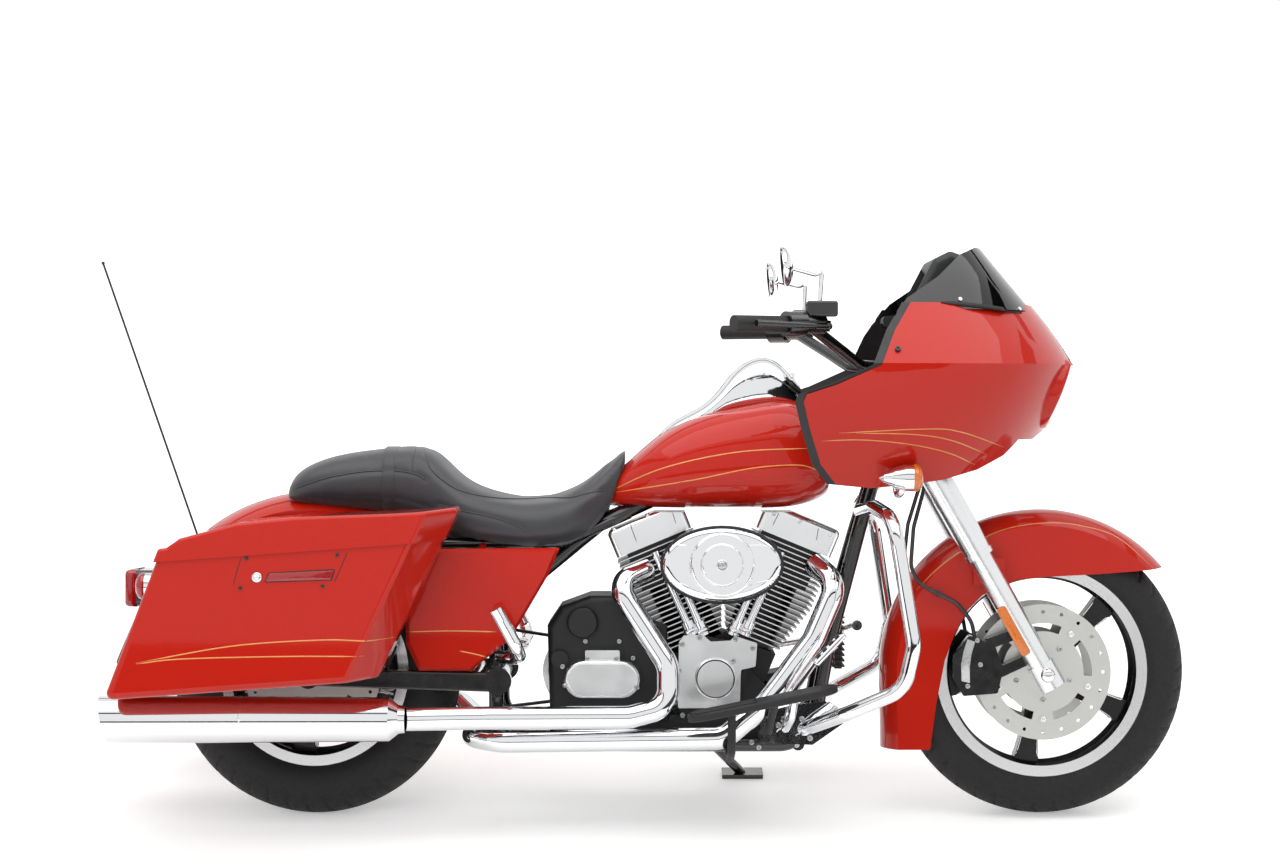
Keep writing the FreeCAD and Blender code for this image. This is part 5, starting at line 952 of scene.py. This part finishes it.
for side, word in SIDES:
    seam(f"latch_outline_{word}", f"saddlebag_{word}",
         (((347.5, 552), (341, 567), (334, 583)), ((242, 555.5), (237, 571), (233, 586))),
         moulded_abs, 1.6, 440, (side,))
seam("screen_gasket", "fairing_shell windshield",
     (((938, 303.5), (960, 305), (984, 307.4), (1006, 310), (1024, 312.5)),), pad_rubber, 9.0, 200, proud=2.5)
seam("rocker_seams", "rocker_covers",
     (((628.5, 517), (632, 530), (637, 543)), ((672, 511), (676, 524)), ((819, 528), (817, 541)),
      ((780, 512), (773, 526))), black_enamel, 1.6, 100)
seam("header_shield_seams", "exhaust_headers",
     (((611, 607), (628, 630), (645, 650), (657, 668), (660, 688), (652, 700), (630, 712)),
      ((798, 640), (785, 665), (765, 690), (748, 702))), black_enamel, 1.8, 210, (-1,))
seam("muffler_bands", "mufflers", (((430, 693), (430, 720)), ((240, 690), (240, 722))),
     chrome_plate, 5.0, 330, proud=1.2)

# %% Air cleaner trim
CLEANER = np.array([93.0, 564.0])


def circle_on(names, centre, radii, radius):
    """A round bead: points of an ellipse in the side view dropped onto the nodes, with a tube along them."""
    t = np.linspace(0, 2 * np.pi, 120)
    view = np.stack([centre[0] + radii[0] * np.cos(t), centre[1] + radii[1] * np.sin(t)], -1)
    return tube(from_side(names, view, -1)[0], radius, 8)


beads = [circle_on("air_cleaner", CLEANER, (ring, ring), bead)
         for ring, bead in ((69, 1.8), (46, 1.4), (44, 0.8), (11, 1.6))]
for line in (((664, 547), (674, 545.5), (687, 546)), ((664, 582), (676, 583), (690, 587)),
             ((750, 546), (764, 546), (774, 549)), ((747, 587), (760, 583), (776, 580))):
    path, _ = from_side("air_cleaner", smooth_path(seen_at(line, 230), 24), -1)
    beads.append(tube(path, 1.2, 8))
make("air_cleaner_beads", beads, chrome_plate)
spot, normal = land_one("air_cleaner", (CLEANER[0], -OUTSIDE, CLEANER[1]), (0, 1, 0))
centre_screw = turned([(-2, 0), (-2, 9), (3, 9), (5, 6.5), (5, 0)], spot, normal, 32)
make("air_cleaner_screw", [centre_screw], zinc_steel)
make("air_cleaner_gasket", [circle_on("air_cleaner", CLEANER, (130.5, 81.5), 4.0)], pad_rubber)
make("timer_cover_bead", [circle_on("engine_covers", (80.0, 311.0), (41, 41), 1.6)], black_enamel)
print("air cleaner beads:", len(beads))

# %% [markdown]
# ## Lamps and lenses
# Seen from the side, the painted nose runs forward round the headlamps and hides them. Each lamp gets a
# painted surround: a ring whose outer edge lies on the shell and whose lip is carried out towards the line
# of the nose. The shell is found by rays from the front. Behind each lens sits a bulb with a small shield.

# %% Headlamp surrounds and bulbs
LAMP_Z, LAMP_APART, LAMP_RADIUS, AHEAD = 936.0, 92.0, 74.0, 1100.0
# Each entry is a radius, how much of the way to the prow line it is carried, and a small step forward.
LIP = ((5.5, 0.0, -3.0), (4.6, 0.0, 0.6), (2.4, 0.45, 1.0), (0.5, 0.8, 0.6), (-1.5, 0.9, 0.0),
       (-3.2, 0.88, -1.0), (-4.2, 0.5, 0.0), (-4.8, 0.0, -2.0))
BULB = [(754, 0), (754, 13), (770, 13), (772, 9), (796, 9), (800, 15), (806, 15), (809, 12), (810, 0)]


def reach(names, y, z):
    """How far forward the nodes reach at each (y, z); a ray that meets nothing takes the answer before it."""
    found = [land(names, [start], (-1, 0, 0))[0] for start in np.stack([np.full(len(y), AHEAD), y, z], -1)]
    for i, point in enumerate(found):
        if not len(point):
            found[i] = found[i - 1]
    return np.concatenate(found)[:, 0]


around = np.linspace(0, 2 * np.pi, 96, endpoint=False)
for side, word in SIDES:
    rows = []
    for extra, share, step in LIP:
        radius = LAMP_RADIUS + extra
        y, z = side * LAMP_APART + radius * np.cos(around), LAMP_Z + radius * np.sin(around)
        ring = reach("fairing_shell headlamp_lenses", y, z)
        # What is nearer the camera looks larger, so the lip stops a little short of the line of the prow.
        prow = LOOK_X + (reach("fairing_shell", 0 * y, z) - LOOK_X) * (1 - np.abs(y) / DISTANCE)
        rows.append(np.stack([ring + share * np.clip(prow - ring, 0, None) + step, y, z], -1))
    surround = (rows, grid_faces(len(rows), len(around), wrap_rows=True, wrap_columns=True))
    make(f"lamp_surround_{word}", [surround], red_lacquer)
    bulb = turned(BULB, (0, side * LAMP_APART, LAMP_Z), (1, 0, 0), 32)
    make(f"lamp_bulb_{word}", [bulb], bright_alloy)
print("lamp surrounds and bulbs on both sides")

# %% Signal and tail lenses
SIGNAL = [(11, 0), (11, 29.8), (17, 29.8), (25, 26.2), (30.5, 17), (32.5, 0)]
for name, x, out, z, way, acrylic in (("front_signal_lenses", 488, 300, 756, 1, amber_lens),
                                      ("rear_signal_lenses", -1152, 170, 516, -1, red_lens)):
    make(name, [turned(SIGNAL, (x, side * out, z), (way, 0, 0), 40) for side, _ in SIDES], acrylic)

# The tail lens caps the lamp's box, which stands on the rear fender 67 degrees back from its top.
TAIL_ANGLE, TAIL_RADIUS = math.radians(67), 394
tail = REAR_AXLE + TAIL_RADIUS * np.array([-math.sin(TAIL_ANGLE), 0, math.cos(TAIL_ANGLE)]) + [-34, 0, 30]
make("tail_lamp_lens", [plate(rounded_box(122.5, 82.5, 13), tail, (-1, 0, 0), UP, 26.0, 9.0, 0.0)], red_lens)
PLATE_Z, BEHIND = 385, -1500
spot, normal = land_one("rear_fender", (BEHIND, 0, PLATE_Z), (1, 0, 0))
holder = plate(rounded_box(180, 108, 9), spot, normal, UP, 12.0, 2.0, 3.0)
make("number_plate_holder", [holder], moulded_abs)
blank = plate(rounded_box(172, 100, 7), spot + normal * 12, normal, UP, 1.6, 0.5, 0.4)
make("number_plate_blank", [blank], bright_alloy)
print("number plate at", spot.round(0))

# %% [markdown]
# ## What the rider sees
# The cockpit is seen from behind and above: two dials with printed ticks, the mirror glass, and the rubber
# on the boards and pedal. The dial marks are plain ticks. Rays are sent along the dial's axis and only the
# ones that meet its face keep their tick, because the hood covers the upper part.

# %% Dials
dial_print = finish("white_dial_print", Base_Color=colour("#e9e9e4"))
varied(dial_print, "Roughness", 4.0, 0.5, 0.65)
DIAL_AT = np.array([578.0, 62.0, 1166.0])
FACE_UP, FACE_RADIUS, TICK_RADIUS, ABOVE_FACE = 16, 38, 37, 60
DIAL_AXIS = unit(np.array([-0.86, 0.0, 0.5]))
DIAL_RIGHT = np.array([0.0, -1.0, 0.0])
DIAL_UP = np.cross(DIAL_AXIS, DIAL_RIGHT)
NEEDLE_TURN = -2.6


def tick(centre, outward, length, width, height=0.8):
    """A small raised bar along outward, with its four sides and top."""
    across = np.cross(DIAL_AXIS, outward)
    corners = [centre + outward * a * length / 2 + across * b * width / 2 + DIAL_AXIS * h
               for h in (-0.3, height) for a, b in ((-1, -1), (1, -1), (1, 1), (-1, 1))]
    return corners, [(0, 3, 2, 1), (4, 5, 6, 7), (0, 1, 5, 4), (1, 2, 6, 5), (2, 3, 7, 6), (3, 0, 4, 7)]


marks = []
for side, _ in SIDES:
    centre = DIAL_AT * [1, side, 1] + DIAL_AXIS * FACE_UP
    for degrees in range(-210, 31, 10):
        turn = math.radians(degrees)
        outward = math.cos(turn) * DIAL_RIGHT + math.sin(turn) * DIAL_UP
        above = centre + outward * TICK_RADIUS + DIAL_AXIS * ABOVE_FACE
        places, _ = land("gauge_pod", [above], -DIAL_AXIS)
        if len(places) and np.linalg.norm(places[0] - centre) < FACE_RADIUS:
            marks.append(tick(places[0], outward, 7.0 if degrees % 30 == 0 else 4.0, 1.1))
    needle = math.cos(NEEDLE_TURN) * DIAL_RIGHT + math.sin(NEEDLE_TURN) * DIAL_UP
    marks.append(tick(centre + needle * 14, needle, 34, 1.6, 1.6))
make("dial_marks", marks, dial_print, smooth=False)
print("dial marks:", len(marks))

# %% Mirror glass and pads
MIRROR_Z, STALK_X = 1204, 232
# The middle of each head comes from the CAD points at its level that lie behind the end of the stalk.
mirror_points = upright(points_of(nodes["mirrors"].data))
head_level = mirror_points[np.abs(mirror_points[:, 2] - MIRROR_Z) < 12]
t = np.linspace(0, 2 * np.pi, 48, endpoint=False)
oval = np.stack([60 * np.cos(t), 36.5 * np.sin(t)], -1)
for side, word in SIDES:
    one = head_level[(np.sign(head_level[:, 1]) == side) & (head_level[:, 0] < STALK_X), 1]
    spot, normal = land_one("mirrors", (100, (one.min() + one.max()) / 2, 1200), (1, 0, 0))
    make(f"mirror_glass_{word}", [plate(oval, spot, normal, UP, 1.2, 0.6, 0.2)], chrome_plate, "fork")
ribs = []
BOARD_Y, ABOVE_BOARD = 290, 600.0
for side, _ in SIDES:
    for offset in (-30, -15, 0, 15, 30):
        starts = [(x, side * (BOARD_Y + offset), ABOVE_BOARD) for x in np.linspace(-110, 165, 24)]
        path, normals = land("footboards", starts, (0, 0, -1))
        if len(path) > 4:
            ribs.append(tube(path + unit(normals) * 0.6, 2.6, 8))
make("footboard_ribs", ribs, pad_rubber)
PAD_AT, PAD_TILT = np.array([322, -268, 388]), math.radians(46)
pad_out = np.array([-math.sin(PAD_TILT), 0, math.cos(PAD_TILT)])
pad_along = np.array([math.cos(PAD_TILT), 0, math.sin(PAD_TILT)])
pad = PAD_AT + pad_out * 6
make("brake_pad_rubbers", [plate(rounded_box(48, 11, 3), pad + pad_along * k, pad_out, pad_along, 3.0)
                           for k in (-28, -9, 10, 29)], pad_rubber)
print("board ribs:", len(ribs))

# %% [markdown]
# ## Small metal on the machine
# The rest is metal trim: the collars where the pushrod tubes meet the case, the ring of screws on the left
# covers, a plate and bolts on each front caliper, bare edges on the spokes, and the baffles deep inside the
# mufflers.

# %% Collars, covers and caliper plates
COLLAR = [(0, 9), (0, 15.5), (9, 15.5), (11, 13.5), (20, 13.5), (22, 11.5), (24, 9.5), (24, 9)]
collars = []
# Each pushrod tube rises from a foot on the case to a head under a rocker cover, here by their places in x.
for foot_x, head_x in ((30, -52), (56, -22), (118, 196), (144, 226)):
    foot, top = np.array([foot_x, -94.0, 405.0]), np.array([head_x, -94.0, 588.0])
    along = unit(top - foot)
    path, _ = land("pushrod_tubes", [foot + along * 60 + [0, -60, 0]], (0, 1, 0))
    if len(path):
        collars.append(turned(COLLAR, np.array([foot[0], path[0][1] + 9, foot[2]]) + along * 6, along, 24))
make("pushrod_collars", collars, chrome_plate)
screws_round("clutch_cover_screws", "engine_covers", 1, (-206.0, 0, 304.0), 66, 5, 20, 5.0, "chassis")
screws_round("coil_cover_screws", "engine_covers", 1, (92.0, 0, 292.0), 44, 3, 20, 5.0, "chassis")
rim_spots = [(x, z) for x in (-190, -90, 10, 90) for z in (206, 388)] + [(176, 292)]
places, _ = from_side("engine_covers", rim_spots, 1)
make("primary_cover_screws", [screw(p, (0, 1.0, 0), 5.5) for p in places], zinc_steel)
corners = seen_at(((968.5, 640), (976.5, 642.5), (972.5, 655), (970.8, 668), (971, 684), (962.5, 682),
                   (962, 665), (964.5, 652)), 130)
middle = corners.mean(0)
for side, word in SIDES:
    spot, _ = land_one("front_calipers", (middle[0], side * 400, middle[1]), (0, -side, 0))
    cover = plate((corners - middle) * [-side, 1], spot, (0, side, 0), UP, 2.4)
    make(f"caliper_plate_{word}", [cover], zinc_steel, "fork")
    screws(f"caliper_bolts_{word}", "front_calipers", side, 5.5,
           ((978.3, 641.1), (968.7, 687), (981.5, 665.4)), zinc_steel, 130, "fork")
print("collars:", len(collars), "primary screws:", len(places))

# %% Bare spoke edges and muffler baffles
SPOKES = 5


def spoke_edges(node, axle, side, radii):
    """Where rays round a ring start and stop meeting spokes; the same edge on each ring is one line."""
    turns, lines = np.radians(np.arange(0, 360, 0.75)), {}
    count = len(turns)
    for radius in radii:
        hits = {}
        for i, a in enumerate(turns):
            view = (axle[0] + radius * math.sin(a), axle[2] + radius * math.cos(a))
            place, _ = from_side(node, view, side)
            if len(place):
                hits[i] = place[0]
        starts = [i for i in hits if (i - 1) % count not in hits]
        stops = [i for i in hits if (i + 1) % count not in hits]
        if len(starts) == len(stops) == SPOKES:
            for way, changes in ((2, starts), (-2, stops)):
                for k, i in enumerate(changes):
                    # Two steps in from an edge the spoke is flat, and the line takes its depth from there.
                    inner = hits.get((i + way) % count, hits[i])
                    lines.setdefault((way, k), []).append([hits[i][0], inner[1], hits[i][2]])
    return [np.array(line) for line in lines.values() if len(line) > 2]


for node, axle, body, radii in (("front_rim", FRONT_AXLE, "front_wheel", np.arange(150, 204, 6)),
                                ("rear_rim", REAR_AXLE, "rear_wheel", np.arange(110, 182, 8))):
    edges = [tube(line, 1.3, 8) for side, _ in SIDES for line in spoke_edges(node, axle, side, radii)]
    make(f"{node}_spoke_edges", edges, bright_alloy, body)
    print(node, "spoke edges:", len(edges))

BAFFLE = [(0, 0), (0, 44), (4, 44), (5, 26), (34, 25), (36, 22), (34, 19), (6, 18), (5, 0)]
cores = []
for outlet in (m for m in frame["record"]["mounts"] if m["name"].startswith("muffler_outlet")):
    place, _ = land_one("mufflers", upright(outlet["pos_m"]) + [-200.0, 0, 0], (1, 0, 0))
    cores.append(turned(BAFFLE, place, (-1, 0, 0), 40))
make("muffler_baffles", cores, black_enamel)
print("baffles:", len(cores))

# %% [markdown]
# ## The studio
# A plain white room: a pale floor that keeps a soft shadow, large soft lights like the diffusers of a photo
# studio, and two rows of dark cards that only reflections see. Without something dark to mirror, chrome
# looks like paper. What the camera, a mirror or a lens sees of floor and room is white, whatever light
# falls there.

# %% Floor, lights and cards
def looked_at(owner):
    """1 on rays from the camera, a mirror or a clear solid, and 0 on the rays that carry light."""
    rays = add(owner, "LightPath", "Is Camera Ray").node.outputs
    direct = {0: rays["Is Camera Ray"], 1: rays["Is Glossy Ray"]}
    seen = add(owner, "Math", "Value", direct, operation="MAXIMUM")
    return add(owner, "Math", "Value", {0: seen, 1: rays["Is Transmission Ray"]}, operation="MAXIMUM")


bpy.ops.mesh.primitive_plane_add(size=120, location=(0, 0, 0))
floor = bpy.context.object
floor.name = "studio_floor"
floor_white = finish("matt_white_studio_floor", Base_Color=colour("#f4f4f3"), Roughness=0.9,
                     Specular_IOR_Level=0.1, Emission_Color=(1, 1, 1, 1))
distance = add(floor_white, "VectorMath", "Value", {0: where(floor_white)}, operation="LENGTH")
span = {"Value": distance, "From Min": 2.0, "From Max": 7.0, "To Min": 0.36, "To Max": 1.0}
lift = {0: looked_at(floor_white), 1: add(floor_white, "MapRange", "Result", span)}
feed(floor_white, "Emission Strength", add(floor_white, "Math", "Value", lift, operation="MULTIPLY"))
floor.data.materials.append(floor_white)

room = bpy.data.worlds.new("studio_room")
scene.world = room
room.use_nodes = True
background = room.node_tree.nodes["Background"]
background.inputs["Color"].default_value = (1, 1, 1, 1)
strength = add(room, "MapRange", "Result", {"Value": looked_at(room), "To Min": 0.55, "To Max": 1.0})
room.node_tree.links.new(strength, background.inputs["Strength"])


def aimed(thing, place, aim, axis):
    """Puts a light or card at a place with one of its axes towards a point."""
    thing.location = place
    thing.rotation_euler = (Vector(aim) - Vector(place)).to_track_quat(axis, "Y").to_euler()


def soft_light(name, place, aim, width, height, watts, mirrored=False):
    """A rectangular diffuser that looks at a point; mirrored says whether gloss sees it as a shape."""
    data = bpy.data.lights.new(name, "AREA")
    data.shape = "RECTANGLE"
    data.size, data.size_y, data.energy = width, height, watts
    lamp = bpy.data.objects.new(name, data)
    scene.collection.objects.link(lamp)
    aimed(lamp, place, aim, "-Z")
    lamp.visible_glossy = mirrored


soft_light("overhead_diffuser", (0, -0.6, 3.6), (0, 0, 0.4), 6.6, 3.4, 112, True)
soft_light("camera_side_diffuser", (-1.5, -4.5, 2.6), (0, 0, 0.5), 4.4, 2.0, 62)
soft_light("far_side_diffuser", (1.0, 4.0, 2.4), (0, 0, 0.6), 4.4, 2.0, 62)


def dark_card(name, place, aim, width, height):
    """A matt black card that only mirrors see, to give chrome its dark lines."""
    bpy.ops.mesh.primitive_plane_add(size=1)
    card = bpy.context.object
    card.name = name
    card.scale = (width, height, 1)
    aimed(card, place, aim, "Z")
    card.data.materials.append(finish(f"{name}_felt", Base_Color=colour("#101010"), Roughness=1.0))
    card.visible_camera = card.visible_diffuse = card.visible_shadow = card.visible_transmission = False


for word, (x, y), width in (("near", (0, -5.2), 12.0), ("far", (0, 5.2), 12.0), ("front", (6.2, 0), 7.0),
                            ("rear", (-6.2, 0), 7.0)):
    dark_card(f"low_card_{word}", (x, y, 0.55), (0, 0, 0.6), width, 0.55)
    dark_card(f"high_card_{word}", (x * 0.7, y * 0.7, 3.6), (0, 0, 1.0), width * 0.8, 0.45)
print("studio ready")

# %% [markdown]
# ## The camera
# The photograph was taken from the right, about six and a half metres away, square to the upright machine.
# Since the machine leans nine degrees away, the camera looks down by nine degrees to see it square.

# %% Camera
IMAGE = (1280, 868)
AIM_PX = (650.2, 400.0)
data = bpy.data.cameras.new("side_camera")
camera = bpy.data.objects.new("side_camera", data)
scene.collection.objects.link(camera)
camera.location = world(np.array([LOOK_X, -DISTANCE, LOOK_Z]))
camera.rotation_euler = (math.pi / 2 - LEAN, 0, 0)
data.sensor_width = 36
data.lens = data.sensor_width * DISTANCE / (IMAGE[0] * SCALE)
data.shift_x = -(AIM_PX[0] - IMAGE[0] / 2) / IMAGE[0]
data.shift_y = -(IMAGE[1] / 2 - AIM_PX[1]) / IMAGE[0]
data.clip_end = 200
scene.camera = camera
scene.view_settings.view_transform = "Standard"
print("camera at", np.array(camera.location).round(3), "lens", round(data.lens, 1))
